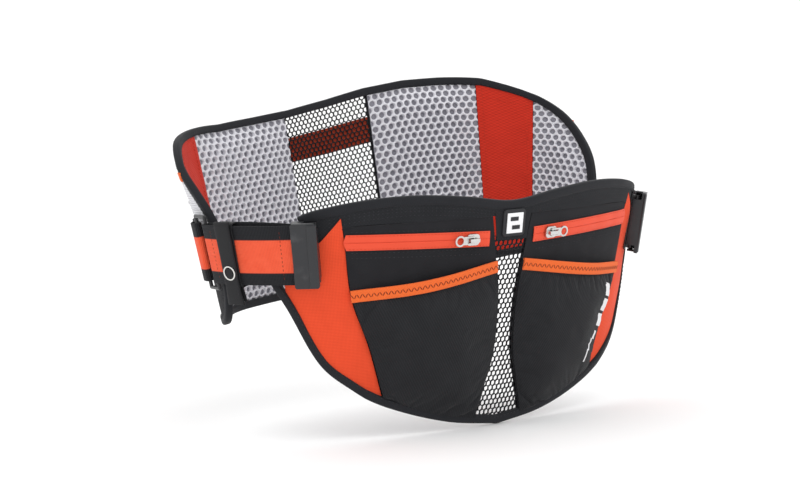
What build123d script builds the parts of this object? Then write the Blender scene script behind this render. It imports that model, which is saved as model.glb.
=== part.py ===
from build123d import *
import os
from math import atan2, cos, degrees, hypot, pi, sin

# A running waist pack: a padded lumbar band and a two-pocket front pack, joined at each side by a
# doubled webbing strap with a hook. +Z is up, the front of the pack faces -Y, and the origin is the
# centre of the waist ring at the height of the middle of the straps. Sizes in millimetres.

# ---- the ring the belt follows: four tangent arcs, wider at the top ----
HALF_WIDTH = 149.0
HALF_DEPTH = 92.0
SIDE_RADIUS = 80.0
TAPER = 0.19
SIDE_CENTRE = HALF_WIDTH - SIDE_RADIUS
_step = HALF_DEPTH - SIDE_RADIUS
FRONT_CENTRE = (SIDE_CENTRE**2 - _step**2) / (2 * _step)
FRONT_RADIUS = HALF_DEPTH + FRONT_CENTRE
FRONT_ANGLE = atan2(SIDE_CENTRE, FRONT_CENTRE)
FRONT_LENGTH = FRONT_RADIUS * FRONT_ANGLE
SIDE_LENGTH = SIDE_RADIUS * (pi - 2 * FRONT_ANGLE)
GIRTH = 4 * FRONT_LENGTH + 2 * SIDE_LENGTH

# ---- cloth thicknesses, as distances outward from the ring ----
LINER = (-1.0, -0.2)
WING = (0.0, 1.2)
YOKE = (1.2, 2.0)
TRIM = (-1.4, 2.4)
SEAM = 0.3
BINDING_WIDTH = 5.0
OVERCUT = 8.0

# ---- front pack ----
BAND_BOTTOM = 15.0
BAND_CENTRE_TOP = 23.0
BAND_SIDE_TOP = 30.0
BAND_END = 124.0
BAND_END_TOP = 26.0
BADGE_PATCH = 14.0
BADGE_HEIGHT = 10.0
BADGE_SIZE = 17.0
PACK_END = 156.0
PACK_BOTTOM = -117.0
POCKET_OUTER = 107.0
POCKET_DEPTH = 8.8
POCKET_WALL = 1.0
HEM_WIDTH = 7.5
ZIP_HEIGHT = 2.0
ZIP_WIDTH = 9.4
ZIP_START = 17.0
ZIP_END = 110.0
SLIDER_PLACE = 30.0
SLIDER_LENGTH = 9.0
PULLER_LEVEL = 1.95

# ---- straps ----
STRAP_WIDTH = 36.0
WEB_THICKNESS = 1.2
WIRE_RADIUS = 1.2
WIRE_LEVEL = 5.5
LOOP_GAP = 0.1
RING_FRONT = 201.0
RING_BACK = 213.0
RING_HEIGHT = 45.0
ANCHOR = (1.2, 2.4)
HOOK_PLACE = 132.5
HOOK_WIDTH = 15.0
HOOK_HEIGHT = 40.0
HOOK_TOP = 10.5
ROD_OFFSET = 1.2
ROD_LEVEL = 5.0
ROD_RADIUS = 1.9
ROD_GAP = 0.6
SLOT_TURN = 26.0
BAR_OFFSET = -5.2
KEEPER_PLACE = 180.0
KEEPER_WIDTH = 12.0
KEEPER_LEVEL = 8.6
FLAP_TOP = 20.5
FLAP_BOTTOM = -30.0
SNAP_HEIGHT = -10.0
SNAP_RADIUS = 4.6

# ---- lumbar band, measured from the centre of the back ----
WINDOW = 32.0
INNER_PAD = 110.0
RED_PANEL = 142.0
BAND_TIP = 192.0
LUMBAR_TOP = 86.0
LUMBAR_BOTTOM = -50.0
PAD = (-7.4, -1.4)
SHELL = (-1.2, 0.0)
EDGE = (-4.0, 1.0)
SIDE_CLOTH = (0.2, 1.0)
TAB_PLACE = 150.0
TAB_HEIGHT = 31.0
WINDOW_BAND = (48.0, 66.0)
WINDOW_BAND_END = 58.0
# How far the band's half is pulled out of its plain shape, by distance from the centre of the back:
# (distance, its top edge raised, its bottom edge raised, seams moved outwards).
LEFT_PULL = [(0, -1, 8, 0), (31, -6.5, 7, 0), (60, -10, 6.5, 4), (85, -12.5, 5, 9), (112, -12.5, 3.5, 13),
             (150, -11, 1, 8), (195, -8, 0, 0)]
RIGHT_PULL = [(0, -1, 8, 0), (30, 5.5, 10, 0), (59, 9.5, 13, 0), (85, 10.5, 16, 0), (112, 10.5, 20, 0),
              (142, 5, 25, 0), (195, 3, 14, 0)]


def arcs():
    """Each arc of the ring: where it starts, its centre, its radius and its first heading."""
    side = SIDE_CENTRE
    front = FRONT_CENTRE
    turn = FRONT_ANGLE
    return [
        (-FRONT_LENGTH - SIDE_LENGTH, (-side, 0), SIDE_RADIUS, turn - pi),
        (-FRONT_LENGTH, (0, front), FRONT_RADIUS, -turn),
        (FRONT_LENGTH, (side, 0), SIDE_RADIUS, turn),
        (FRONT_LENGTH + SIDE_LENGTH, (0, -front), FRONT_RADIUS, pi - turn),
        (3 * FRONT_LENGTH + SIDE_LENGTH, (-side, 0), SIDE_RADIUS, pi + turn),
        (3 * FRONT_LENGTH + 2 * SIDE_LENGTH, (0, front), FRONT_RADIUS, 2 * pi - turn),
    ]


def heading(along, arc):
    start, _, radius, first = arc
    return first + (along - start) / radius


def place(along, height, out=0.0):
    """A point: along the ring from the front centre, up, and outward."""
    arc = [a for a in arcs() if a[0] <= along + 1e-9][-1]
    angle = heading(along, arc)
    reach = arc[2] + out + TAPER * height
    return Vector(arc[1][0] + reach * sin(angle), arc[1][1] - reach * cos(angle), height)


def local(along, height=0.0, out=0.0):
    """A plane square to the cloth: x along the ring, y up its taper, z outward."""
    height -= TAPER * out / (1 + TAPER**2)
    arc = [a for a in arcs() if a[0] <= along + 1e-9][-1]
    angle = heading(along, arc)
    tangent = Vector(cos(angle), sin(angle), 0)
    up = Vector(TAPER * sin(angle), -TAPER * cos(angle), 1).normalized()
    return Plane(origin=place(along, height, out), x_dir=tangent, z_dir=tangent.cross(up))


def sector(arc, start, end, low, high, inner, outer):
    """A conical band on one arc of the ring, with its edges square to the cloth."""
    centre, radius = arc[1], arc[2]
    angle = heading(start, arc)

    def corner(out, height):
        height -= TAPER * out / (1 + TAPER**2)
        reach = radius + out + TAPER * height
        return (centre[0] + reach * sin(angle), centre[1] - reach * cos(angle), height)

    profile = make_face(Polyline(
        corner(inner, low), corner(outer, low), corner(outer, high), corner(inner, high), close=True))
    turn = degrees((end - start) / radius)
    return revolve(profile, Axis((centre[0], centre[1], 0), (0, 0, 1)), revolution_arc=turn)


def band(start, end, low, high, inner, outer):
    """A conical band along any stretch of the ring."""
    table = arcs()
    solids = []
    for arc, following in zip(table, table[1:]):
        first, last = max(start, arc[0]), min(end, following[0])
        if last - first > 0.01:
            solids.append(sector(arc, first, last, low, high, inner, outer))
    return join(solids)


def join(solids):
    whole = solids[0]
    for solid in solids[1:]:
        whole = whole + solid
    return whole


def clip(points, limit, keep_above, axis=0):
    """The part of a flat outline on one side of a straight line."""
    kept = []
    for a, b in zip(points, points[1:] + points[:1]):
        a_in = a[axis] >= limit if keep_above else a[axis] <= limit
        b_in = b[axis] >= limit if keep_above else b[axis] <= limit
        if a_in:
            kept.append(a)
        if a_in != b_in:
            part = (limit - a[axis]) / (b[axis] - a[axis])
            kept.append((a[0] + part * (b[0] - a[0]), a[1] + part * (b[1] - a[1])))
    return kept


def inset_line(points, distance):
    """An open line moved sideways, to its right as it runs."""
    moved = []
    for i, (x, z) in enumerate(points):
        before, after = points[max(i - 1, 0)], points[min(i + 1, len(points) - 1)]
        run = (after[0] - before[0], after[1] - before[1])
        length = hypot(*run)
        moved.append((x + distance * run[1] / length, z - distance * run[0] / length))
    return moved


def subdivide(points, longest=9.0):
    """The same outline with its long runs split, so that it follows the ring."""
    fine = []
    for a, b in zip(points, points[1:] + points[:1]):
        count = max(1, int(abs(b[0] - a[0]) / longest + 0.999))
        fine += [(a[0] + (b[0] - a[0]) * i / count, a[1] + (b[1] - a[1]) * i / count)
                 for i in range(count)]
    return fine


def view_heading(index, points):
    """The direction an outline on this arc is cut along: square to the cloth it covers."""
    if index in (1, 5):
        return 0.0
    if index == 3:
        return pi
    middle = sum(p[0] for p in points) / len(points)
    full = pi / 4 if abs(abs(middle) - GIRTH / 2) > GIRTH / 4 else 3 * pi / 4
    return {0: -full, 2: full, 4: 2 * pi - full}[index]


def panel(outline, inner, outer):
    """A sheet of cloth on the ring, cut to a flat outline of (along, up) points."""
    table = arcs()
    solids = []
    for index, (arc, following) in enumerate(zip(table, table[1:])):
        part = clip(clip(outline, arc[0], True), following[0], False)
        if len(part) < 3 or max(p[0] for p in part) - min(p[0] for p in part) < 0.5:
            continue
        heights = [p[1] for p in part]
        alongs = [p[0] for p in part]
        low, high = min(heights) - OVERCUT, max(heights) + OVERCUT
        sheet = sector(arc, min(alongs), max(alongs), low, high, inner, outer)
        angle = view_heading(index, part)
        side = Vector(cos(angle), sin(angle), 0)
        out = Vector(sin(angle), -cos(angle), 0)
        part = clip(clip(outline, arc[0] - OVERCUT, True), following[0] + OVERCUT, False)
        corners = []
        for along, height in subdivide(part):
            on_arc = heading(along, arc)
            reach = arc[2] + TAPER * height
            spot = Vector(arc[1][0] + reach * sin(on_arc), arc[1][1] - reach * cos(on_arc), height)
            corners.append(side * spot.dot(side) + Vector(0, 0, height))
        cutter = extrude(make_face(Polyline(*corners, close=True)), amount=400, dir=out)
        solids.append(sheet & cutter)
    return join(solids)


def curve(points, count=14):
    """Points along a smooth line through a few flat points."""
    line = Spline(*[(p[0], p[1]) for p in points])
    return [((line @ (i / count)).X, (line @ (i / count)).Y) for i in range(count + 1)]


def mirrored(solid):
    return mirror(solid, Plane.YZ)


# ---- flat outlines of the front pack, left half: along the ring is negative ----

def pack_edge(inset=0.0):
    """The lower edge of the pack from its left end to its bottom centre."""
    left = [(-PACK_END - 3, -18), (-130.5, -69), (-82, -99)]
    right = [(-p[0], p[1]) for p in left[::-1]]
    whole = curve(left + [(0, PACK_BOTTOM)] + right, 30)
    return inset_line(whole, -inset)[:16]


def column_edge():
    """The left edge of the see-through centre column, from the top down."""
    return curve([(-11, 0), (-7, -38), (-8, -70), (-21, -112)], 8)


def wing_seam():
    """The seam between the left wing and the left pocket, from the top down."""
    return curve([(-112, 14), (-107, -30), (-96, -60), (-86, -92)], 6)


def trim_to(points, side, clear):
    return [(p[0] + side * clear, p[1]) for p in points]


def under_band():
    """The left lower edge of the top band, from the strap to the badge patch."""
    return [(-148, 10), (-BAND_END, 10), (-112, BAND_BOTTOM), (-BADGE_PATCH, BAND_BOTTOM),
            (-BADGE_PATCH, 0)]


def below_band(start=-150.0):
    return [(p[0] - SEAM, p[1] - SEAM) for p in under_band() if p[0] > start]


def lower_edge(start, end):
    return [p for p in pack_edge(BINDING_WIDTH + SEAM) if start < p[0] < end]


def column_side():
    return [(p[0] - SEAM, p[1]) for p in column_edge()[1:-1]]


def left_liner():
    return panel(below_band() + column_side() + lower_edge(-150, -23)[::-1], *LINER)


def left_wing():
    seam = trim_to(wing_seam(), -1, SEAM)
    return panel(below_band()[:2] + seam + lower_edge(-150, -86)[::-1], *WING)


def left_yoke():
    seam = trim_to(wing_seam(), 1, SEAM)
    return panel(below_band(-113)[1:] + column_side() + lower_edge(-83, -23)[::-1] + seam[::-1], *YOKE)


def centre_mesh():
    left = [p for p in column_edge() if p[1] < -0.5][:-1]
    right = [(-p[0], p[1]) for p in left[::-1]]
    foot = lower_edge(-21, 1)
    foot = foot + [(-p[0], p[1]) for p in foot[-2::-1]]
    return panel([(-11, -0.5)] + left + foot + right + [(11, -0.5)], *LINER)


def hem_line():
    """The top edge of the left pocket, from its outer end to the column."""
    return [(-POCKET_OUTER - 0.5, -24.0), (-75, -21), (-44, -17.2), (-12.5, -13)]


def pocket_outline(inset, raised=0.0):
    top = [(p[0], p[1] + raised) for p in hem_line()]
    top[0] = (top[0][0] + inset, top[0][1])
    top[-1] = (top[-1][0] - inset + 1, top[-1][1])
    seam = [(p[0] + inset + SEAM, p[1]) for p in wing_seam() if -92 < p[1] < -25]
    floor = [p for p in pack_edge(BINDING_WIDTH + SEAM + inset) if -80 + inset < p[0] < -24 - inset]
    column = [(p[0] - inset - SEAM, p[1]) for p in column_edge() if -104 + inset < p[1] < -15]
    return top[::-1] + seam + floor + column[::-1]


def left_pocket():
    low = YOKE[1] + 0.15
    high = YOKE[1] + POCKET_DEPTH
    outside = panel(pocket_outline(0.0), low, high + POCKET_WALL)
    inside = panel(pocket_outline(3.0, 6.0), low - 1, high)
    return outside - inside


def left_hem():
    low = YOKE[1] + POCKET_DEPTH + POCKET_WALL + 0.15
    top = hem_line()
    return panel(top + [(p[0], p[1] - HEM_WIDTH) for p in top[::-1]], low, low + 1.0)


def left_zip_tape():
    low = YOKE[1] + 0.15
    return band(-ZIP_END, -ZIP_START, ZIP_HEIGHT - ZIP_WIDTH / 2, ZIP_HEIGHT + ZIP_WIDTH / 2,
                low, low + 0.6)


def left_zip_coil():
    low = YOKE[1] + 0.85
    return band(-FRONT_LENGTH, -ZIP_START - 3, ZIP_HEIGHT - 1.1, ZIP_HEIGHT + 1.1, low, low + 0.5)


def top_band():
    left = curve([(-BAND_END, BAND_END_TOP), (-70, BAND_SIDE_TOP), (-8, BAND_CENTRE_TOP)], 10)
    right = [(-p[0], p[1]) for p in left[::-1]]
    under = under_band()[1:]
    return panel(left + right + [(-p[0], p[1]) for p in under] + under[::-1], *TRIM)


def pack_binding():
    outer = pack_edge(0.0)
    inner = pack_edge(BINDING_WIDTH)
    outer = outer + [(-p[0], p[1]) for p in outer[-2::-1]]
    inner = inner + [(-p[0], p[1]) for p in inner[-2::-1]]
    return panel(outer + inner[::-1], *TRIM)


# ---- badge ----

def badge_base():
    spot = local(0, BADGE_HEIGHT, TRIM[1] + 0.7)
    plate = Box(BADGE_SIZE, BADGE_SIZE, 1.2)
    return spot * fillet(plate.edges().filter_by(Axis.Z), 2.5)


def badge_face():
    spot = local(0, BADGE_HEIGHT, TRIM[1] + 0.7)
    frame = Box(12.5, 12.5, 0.7) - Box(9.5, 9.5, 2)
    return spot * Pos(0, 0, 0.97) * frame


# ---- zip slider and puller; x is along the zip, z is outward ----

def slider_spot():
    return local(-SLIDER_PLACE, ZIP_HEIGHT, YOKE[1] + 1.75)


def left_slider():
    plate = fillet(Box(SLIDER_LENGTH, 7.0, 1.1).edges().filter_by(Axis.Z), 2.2)
    lips = [Pos(0, side * 3.1, -0.65) * Box(SLIDER_LENGTH - 4, 0.8, 0.6) for side in (-1, 1)]
    posts = [Pos(x, 0, 1.4) * Box(1.4, 2.2, 1.8) for x in (-2.6, 2.6)]
    bridge = Pos(0, 0, 2.75) * Box(6.6, 2.2, 1.0)
    return slider_spot() * Pos(0, 0, 0.55) * join([plate, bridge] + lips + posts)


def left_puller():
    bar = Rot(90, 0, 0) * Cylinder(0.45, 5.2)
    arms = [Pos(-2.5, side * 2.1, 0) * Box(5.4, 0.9, 0.8) for side in (-1, 1)]
    stem = Pos(-6.0, 0, 0) * Box(2.4, 5.1, 0.8)
    ring = Pos(-9.8, 0, 0) * (Cylinder(3.4, 0.8) - Cylinder(2.3, 2))
    return slider_spot() * Pos(0, 0, PULLER_LEVEL) * join([bar, stem, ring] + arms)


# ---- side straps; x is along the strap towards the front, y up, z outward ----

def tube(radius, wall, length):
    return Rot(90, 0, 0) * (Cylinder(radius + wall, length) - Cylinder(radius, length + 2))


def half_tube(spot, front_half):
    """The turn of a webbing loop round a vertical wire."""
    radius = WIRE_RADIUS + LOOP_GAP
    side = 1 if front_half else -1
    keep = Pos(side * 5, 0, 0) * Box(10.06, STRAP_WIDTH + 4, 10)
    return spot * (tube(radius, WEB_THICKNESS, STRAP_WIDTH / cos(atan2(TAPER, 1))) & keep)


def level_band(start, end, layer):
    """One flat layer of webbing, above (1) or below (-1) the wires."""
    near = WIRE_LEVEL + layer * (WIRE_RADIUS + LOOP_GAP)
    far = near + layer * WEB_THICKNESS
    return band(start, end, -STRAP_WIDTH / 2, STRAP_WIDTH / 2, min(near, far), max(near, far))


def left_strap():
    start = -RING_FRONT
    end = -HOOK_PLACE + BAR_OFFSET
    loops = [half_tube(local(start, 0, WIRE_LEVEL), False), half_tube(local(end, 0, WIRE_LEVEL), True)]
    return join([level_band(start, end, 1), level_band(start, end, -1)] + loops)


def left_anchor():
    """Webbing sewn to the lumbar shell, with a loop that holds the ring."""
    end = -RING_BACK
    loop = half_tube(local(end, 0, WIRE_LEVEL), True)
    under = level_band(end - 8, end, -1)
    over = level_band(end - 8, end, 1)
    wrap = band(end - 9.5, end - 8, -STRAP_WIDTH / 2, STRAP_WIDTH / 2, ANCHOR[0],
                WIRE_LEVEL + WIRE_RADIUS + LOOP_GAP + WEB_THICKNESS)
    tail = band(end - 45, end - 9.5, -STRAP_WIDTH / 2, STRAP_WIDTH / 2, *ANCHOR)
    return join([over, under, wrap, tail, loop])


def left_ring():
    """A thin wire rectangle between the anchor loop and the strap loop."""
    back = local(-RING_BACK, 0, WIRE_LEVEL)
    front = local(-RING_FRONT, 0, WIRE_LEVEL)
    wires = [spot * Rot(90, 0, 0) * Cylinder(WIRE_RADIUS, RING_HEIGHT) for spot in (back, front)]
    ends = []
    for side in (-1, 1):
        a = back.from_local_coords(Vector(0, side * RING_HEIGHT / 2, 0))
        b = front.from_local_coords(Vector(0, side * RING_HEIGHT / 2, 0))
        run = b - a
        ends.append(Plane(origin=(a + b) * 0.5, z_dir=run) * Cylinder(WIRE_RADIUS, run.length))
        ends += [Pos(*a) * Sphere(WIRE_RADIUS), Pos(*b) * Sphere(WIRE_RADIUS)]
    return join(wires + ends)


def hook_spot():
    return local(-HOOK_PLACE, 0, 0)


def left_hook():
    """A moulded hook: cover, a bar for the webbing and a slot that drops over the catch rod."""
    cover = Pos(0, 0, HOOK_TOP - 1.1) * Box(HOOK_WIDTH, HOOK_HEIGHT, 2.2)
    cover = fillet(cover.edges().filter_by(Axis.Z), 1.5)
    cheeks = [Pos(-4.0, side * (HOOK_HEIGHT / 2 - 0.65), 6.1) * Box(7.0, 1.1, 5.6)
              for side in (-1, 1)]
    jaw = Pos(HOOK_WIDTH / 2 - 5.0, 0, 5.6) * Box(10.0, 30, 6.0)
    clear = ROD_RADIUS + ROD_GAP
    slot = Rot(0, -SLOT_TURN, 0) * Pos(0, 0, -10) * Box(2 * clear, 32, 20)
    slot = slot + Rot(90, 0, 0) * Cylinder(clear, 32)
    jaw = jaw - Pos(ROD_OFFSET, 0, ROD_LEVEL) * slot
    bar = local(-HOOK_PLACE + BAR_OFFSET, 0, WIRE_LEVEL) * Rot(90, 0, 0) \
        * Cylinder(WIRE_RADIUS, HOOK_HEIGHT - 0.5)
    return hook_spot() * join([cover, jaw] + cheeks) + bar


def left_catch():
    """A staple sewn to the wing: a rod on two posts over a base plate."""
    rod = Pos(ROD_OFFSET, 0, ROD_LEVEL) * Rot(90, 0, 0) * Cylinder(ROD_RADIUS, 35)
    plate = Pos(ROD_OFFSET + 1, 0, 1.75) * Box(9.0, 37, 0.7)
    posts = [Pos(ROD_OFFSET, side * 16.5, 3.2) * Box(3.0, 1.9, 3.2) for side in (-1, 1)]
    return hook_spot() * join([rod, plate] + posts)


# ---- snap keeper on the strap ----

def left_keeper():
    """A sleeve round both layers of webbing, with a tail below."""
    start = -KEEPER_PLACE - KEEPER_WIDTH / 2
    end = -KEEPER_PLACE + KEEPER_WIDTH / 2
    near = 1.5
    top = STRAP_WIDTH / 2 + 0.5
    whole = band(start, end, -top - 1, top + 1, near, KEEPER_LEVEL + 1)
    whole = whole - band(start - 1, end + 1, -top, top, near + 1, KEEPER_LEVEL)
    return whole + band(start, end, -top - 10, -top - 0.5, 6.0, KEEPER_LEVEL)


def flap_spot():
    return local(-KEEPER_PLACE, FLAP_TOP - 0.6, KEEPER_LEVEL + 2.0)


def left_flap():
    """The strip that snaps over the keeper, hung from the keeper's top edge."""
    length = FLAP_TOP - FLAP_BOTTOM
    strip = Pos(0, -length / 2, 0.3) * Box(KEEPER_WIDTH - 1, length, 1.1)
    strip = fillet(strip.edges().filter_by(Axis.Z), 3.0)
    return flap_spot() * strip


def snap_spot():
    return local(-KEEPER_PLACE, SNAP_HEIGHT, KEEPER_LEVEL + 1.0)


def left_snap_stud():
    return snap_spot() * (Pos(0, 0, 0.3) * Cylinder(1.2, 0.3))


def left_snap_cap():
    ring = Cylinder(SNAP_RADIUS, 0.8) - Pos(0, 0, 0.4) * Cylinder(SNAP_RADIUS - 0.9, 0.9)
    return snap_spot() * Pos(0, 0, 2.4) * ring


# ---- lumbar band; along is measured from the centre of the back towards the left ----

def pulled(along, height, pull):
    """Where a point of the band's plain half lies once the half is pulled into shape."""
    for a, b in zip(pull, pull[1:]):
        if a[0] <= along <= b[0]:
            part = (along - a[0]) / (b[0] - a[0])
            top, bottom, aside = [a[i] + (b[i] - a[i]) * part for i in (1, 2, 3)]
    up = (height - LUMBAR_BOTTOM) / (LUMBAR_TOP - LUMBAR_BOTTOM)
    return GIRTH / 2 + along + aside, height + top * up + bottom * (1 - up)


def from_back(points, pull):
    return [pulled(p[0], p[1], pull) for p in subdivide(points)]


def lumbar_edge(inset=0.0):
    """The edge of the left half, from the top centre round the tip to the bottom centre."""
    tip = curve([(104, LUMBAR_TOP - 0.5), (143, 76), (166, 59), (186, 31), (BAND_TIP, 3), (184, -32),
                 (160, LUMBAR_BOTTOM + 0.5)], 20)
    whole = [(0, LUMBAR_TOP), (92, LUMBAR_TOP)] + tip + [(150, LUMBAR_BOTTOM), (0, LUMBAR_BOTTOM)]
    return inset_line(whole, inset)


def lumbar_slice(start, end, layer, pull, inset=BINDING_WIDTH + SEAM):
    """The part of the left half between two distances from the centre."""
    outline = clip(clip(lumbar_edge(inset), start, True), end, False)
    return panel(from_back(outline, pull), *layer)


def both_halves(make):
    """A piece that crosses the centre of the back, from its left half and its right half."""
    return make(LEFT_PULL) + mirrored(make(RIGHT_PULL))


def binding_half(pull):
    outer = panel(from_back(lumbar_edge(), pull), *EDGE)
    return outer - panel(from_back(lumbar_edge(BINDING_WIDTH), pull), EDGE[0] - 1, EDGE[1] + 1)


def window_half(pull):
    return lumbar_slice(0, WINDOW - SEAM, (-1.2, -0.4), pull)


def window_band_half(pull):
    low, high = WINDOW_BAND
    outline = [(0, high), (WINDOW_BAND_END, high), (WINDOW_BAND_END, low), (0, low)]
    return panel(from_back(outline, pull), 0.3, 1.5)


def side_pocket(pull):
    """Flat stretch mesh on the outside of the band's end, above the webbing."""
    outline = clip(lumbar_edge(BINDING_WIDTH + SEAM), 118, True)
    outline = clip(clip(outline, 20, True, 1), 50, False, 1)
    return panel(from_back(outline, pull), *SIDE_CLOTH)


def side_hem(pull):
    outline = clip(lumbar_edge(BINDING_WIDTH + SEAM), 112, True)
    outline = clip(clip(outline, 50.3, True, 1), 57, False, 1)
    return panel(from_back(outline, pull), SIDE_CLOTH[0], SIDE_CLOTH[1] + 0.6)


def pull_tab(pull):
    along, height = pulled(TAB_PLACE, TAB_HEIGHT, pull)
    spot = local(along, height, 1.3)
    return spot * (Box(5.0, 10.0, 0.5) - Pos(0, 2, 0) * Box(2.0, 3.0, 2))


def inner_pad(pull):
    return lumbar_slice(WINDOW + 1, INNER_PAD - 1, PAD, pull)


def outer_pad(pull):
    return lumbar_slice(RED_PANEL + 1, BAND_TIP, PAD, pull)


def red_panel(pull):
    return lumbar_slice(INNER_PAD, RED_PANEL, (-2.6, -1.4), pull)


def lumbar_shell(pull):
    return lumbar_slice(WINDOW, BAND_TIP, SHELL, pull)


SINGLE = {
    "centre_mesh": centre_mesh,
    "front_top_band": top_band,
    "front_binding": pack_binding,
    "badge_base": badge_base,
    "badge_mark": badge_face,
}
ACROSS_THE_BACK = {
    "window_mesh": window_half,
    "lumbar_band": window_band_half,
    "lumbar_binding": binding_half,
}
PAIRED = {
    "front_liner": left_liner,
    "wing": left_wing,
    "yoke": left_yoke,
    "stretch_pocket": left_pocket,
    "pocket_hem": left_hem,
    "zip_tape": left_zip_tape,
    "zip_coil": left_zip_coil,
    "zip_slider": left_slider,
    "zip_puller": left_puller,
    "strap": left_strap,
    "ring_anchor": left_anchor,
    "ring": left_ring,
    "hook": left_hook,
    "hook_catch": left_catch,
    "keeper": left_keeper,
    "keeper_flap": left_flap,
    "snap_stud": left_snap_stud,
    "snap_cap": left_snap_cap,
}
PAIRED_AT_THE_BACK = {
    "inner_pad": inner_pad,
    "outer_pad": outer_pad,
    "red_panel": red_panel,
    "lumbar_shell": lumbar_shell,
    "side_pocket": side_pocket,
    "side_hem": side_hem,
    "pull_tab": pull_tab,
}


def write(name, solid):
    export_step(solid, f"parts/{name}.step")
    box = solid.bounding_box()
    print(f"{name:24s} solids {len(solid.solids())} volume {solid.volume:9.1f} "
          f"box {box.size.X:6.1f} {box.size.Y:6.1f} {box.size.Z:6.1f}")


os.makedirs("parts", exist_ok=True)
for name, make in SINGLE.items():
    write(name, make())
for name, make in PAIRED.items():
    solid = make()
    write("left_" + name, solid)
    write("right_" + name, mirrored(solid))
for name, make in ACROSS_THE_BACK.items():
    write(name, both_halves(make))
for name, make in PAIRED_AT_THE_BACK.items():
    write("left_" + name, make(LEFT_PULL))
    write("right_" + name, mirrored(make(RIGHT_PULL)))
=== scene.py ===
import bpy
import bmesh
from math import atan2, cos, pi, radians, sin, sqrt
from mathutils import Matrix, Quaternion, Vector, noise
from mathutils.bvhtree import BVHTree


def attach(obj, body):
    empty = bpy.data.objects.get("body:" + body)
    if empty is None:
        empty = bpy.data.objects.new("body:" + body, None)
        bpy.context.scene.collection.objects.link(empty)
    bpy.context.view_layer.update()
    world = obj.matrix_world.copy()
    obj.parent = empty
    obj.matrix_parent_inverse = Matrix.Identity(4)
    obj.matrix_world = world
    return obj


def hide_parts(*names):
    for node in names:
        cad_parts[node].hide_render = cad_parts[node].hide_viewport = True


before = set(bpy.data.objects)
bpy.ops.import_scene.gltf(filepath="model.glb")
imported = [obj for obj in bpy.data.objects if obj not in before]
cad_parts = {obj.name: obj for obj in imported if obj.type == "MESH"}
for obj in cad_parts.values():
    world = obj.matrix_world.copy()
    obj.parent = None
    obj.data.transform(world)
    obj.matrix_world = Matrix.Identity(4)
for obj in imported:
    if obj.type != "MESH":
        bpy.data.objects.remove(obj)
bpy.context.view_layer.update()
bpy.ops.object.select_all(action="DESELECT")

# ---- Floor, light and camera ----
# A waist pack stood on its lower edge on a pale floor, under large soft lights.
FLOOR_HEIGHT = -0.1178
FLOOR_SIZE = 60.0
PALE = (0.985, 0.985, 0.985, 1.0)
CAMERA_TARGET = Vector((-0.0173, 0.0, -0.0104))
CAMERA_DISTANCE = 1.5279
CAMERA_TURN = radians(-35.44)
CAMERA_RISE = radians(4.85)
CAMERA_ROLL = radians(-2.38)
CAMERA_LENS = 107.26


def add_node(tree, kind, values=None, **settings):
    """A shader node with its settings, and its inputs set or linked."""
    node = tree.nodes.new("ShaderNode" + kind)
    for key, value in settings.items():
        setattr(node, key, value)
    for key, value in (values or {}).items():
        if isinstance(value, bpy.types.NodeSocket):
            tree.links.new(value, node.inputs[key])
        else:
            node.inputs[key].default_value = value
    return node


def start_material(name, rough, sheen=0.0, metal=0.0, coat=0.0, shine=0.5):
    material = bpy.data.materials.new(name)
    material.use_nodes = True
    shader = material.node_tree.nodes["Principled BSDF"]
    shader.inputs["Roughness"].default_value = rough
    shader.inputs["Sheen Weight"].default_value = sheen
    shader.inputs["Metallic"].default_value = metal
    shader.inputs["Coat Weight"].default_value = coat
    shader.inputs["Specular IOR Level"].default_value = shine
    return material, material.node_tree, shader


bpy.ops.mesh.primitive_plane_add(size=FLOOR_SIZE, location=(0, 0, FLOOR_HEIGHT))
floor = bpy.context.object
floor.name = "floor"
floor_paint, tree, shader = start_material("floor_paint", 0.9)
grain = add_node(tree, "TexNoise", {"Scale": 3.0})
tint = add_node(tree, "Mix", {"Factor": grain.outputs["Fac"], "A": PALE, "B": (0.995, 0.995, 0.995, 1)},
                data_type="RGBA")
tree.links.new(tint.outputs["Result"], shader.inputs["Base Color"])
floor.data.materials.append(floor_paint)

world = bpy.data.worlds.new("studio")
world.use_nodes = True
world.node_tree.nodes["Background"].inputs["Color"].default_value = (1.0, 1.0, 1.0, 1.0)
world.node_tree.nodes["Background"].inputs["Strength"].default_value = 1.12
bpy.context.scene.world = world
bpy.context.scene.view_settings.view_transform = "Standard"

SOFT_LIGHTS = (
    ("key_light", (-0.7, -1.3, 1.9), 1.2, 5.0),
    ("fill_light", (1.9, -0.8, 0.8), 1.6, 1.5),
    ("back_light", (0.5, 1.6, 1.8), 1.4, 3.0),
)
for name, place, size, power in SOFT_LIGHTS:
    lamp = bpy.data.lights.new(name, "AREA")
    lamp.shape = "DISK"
    lamp.size = size
    lamp.energy = power
    light = bpy.data.objects.new(name, lamp)
    light.location = place
    light.rotation_euler = (-Vector(place)).to_track_quat("-Z", "Y").to_euler()
    bpy.context.scene.collection.objects.link(light)

camera = bpy.data.objects.new("camera", bpy.data.cameras.new("camera"))
camera.data.lens = CAMERA_LENS
camera.data.clip_end = 100.0
direction = Vector((sin(CAMERA_TURN) * cos(CAMERA_RISE), -cos(CAMERA_TURN) * cos(CAMERA_RISE),
                    sin(CAMERA_RISE)))
camera.location = CAMERA_TARGET + direction * CAMERA_DISTANCE
looking = (-direction).to_track_quat("-Z", "Y") @ Quaternion((0, 0, 1), CAMERA_ROLL)
camera.rotation_euler = looking.to_euler()
bpy.context.scene.collection.objects.link(camera)
bpy.context.scene.camera = camera

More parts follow.
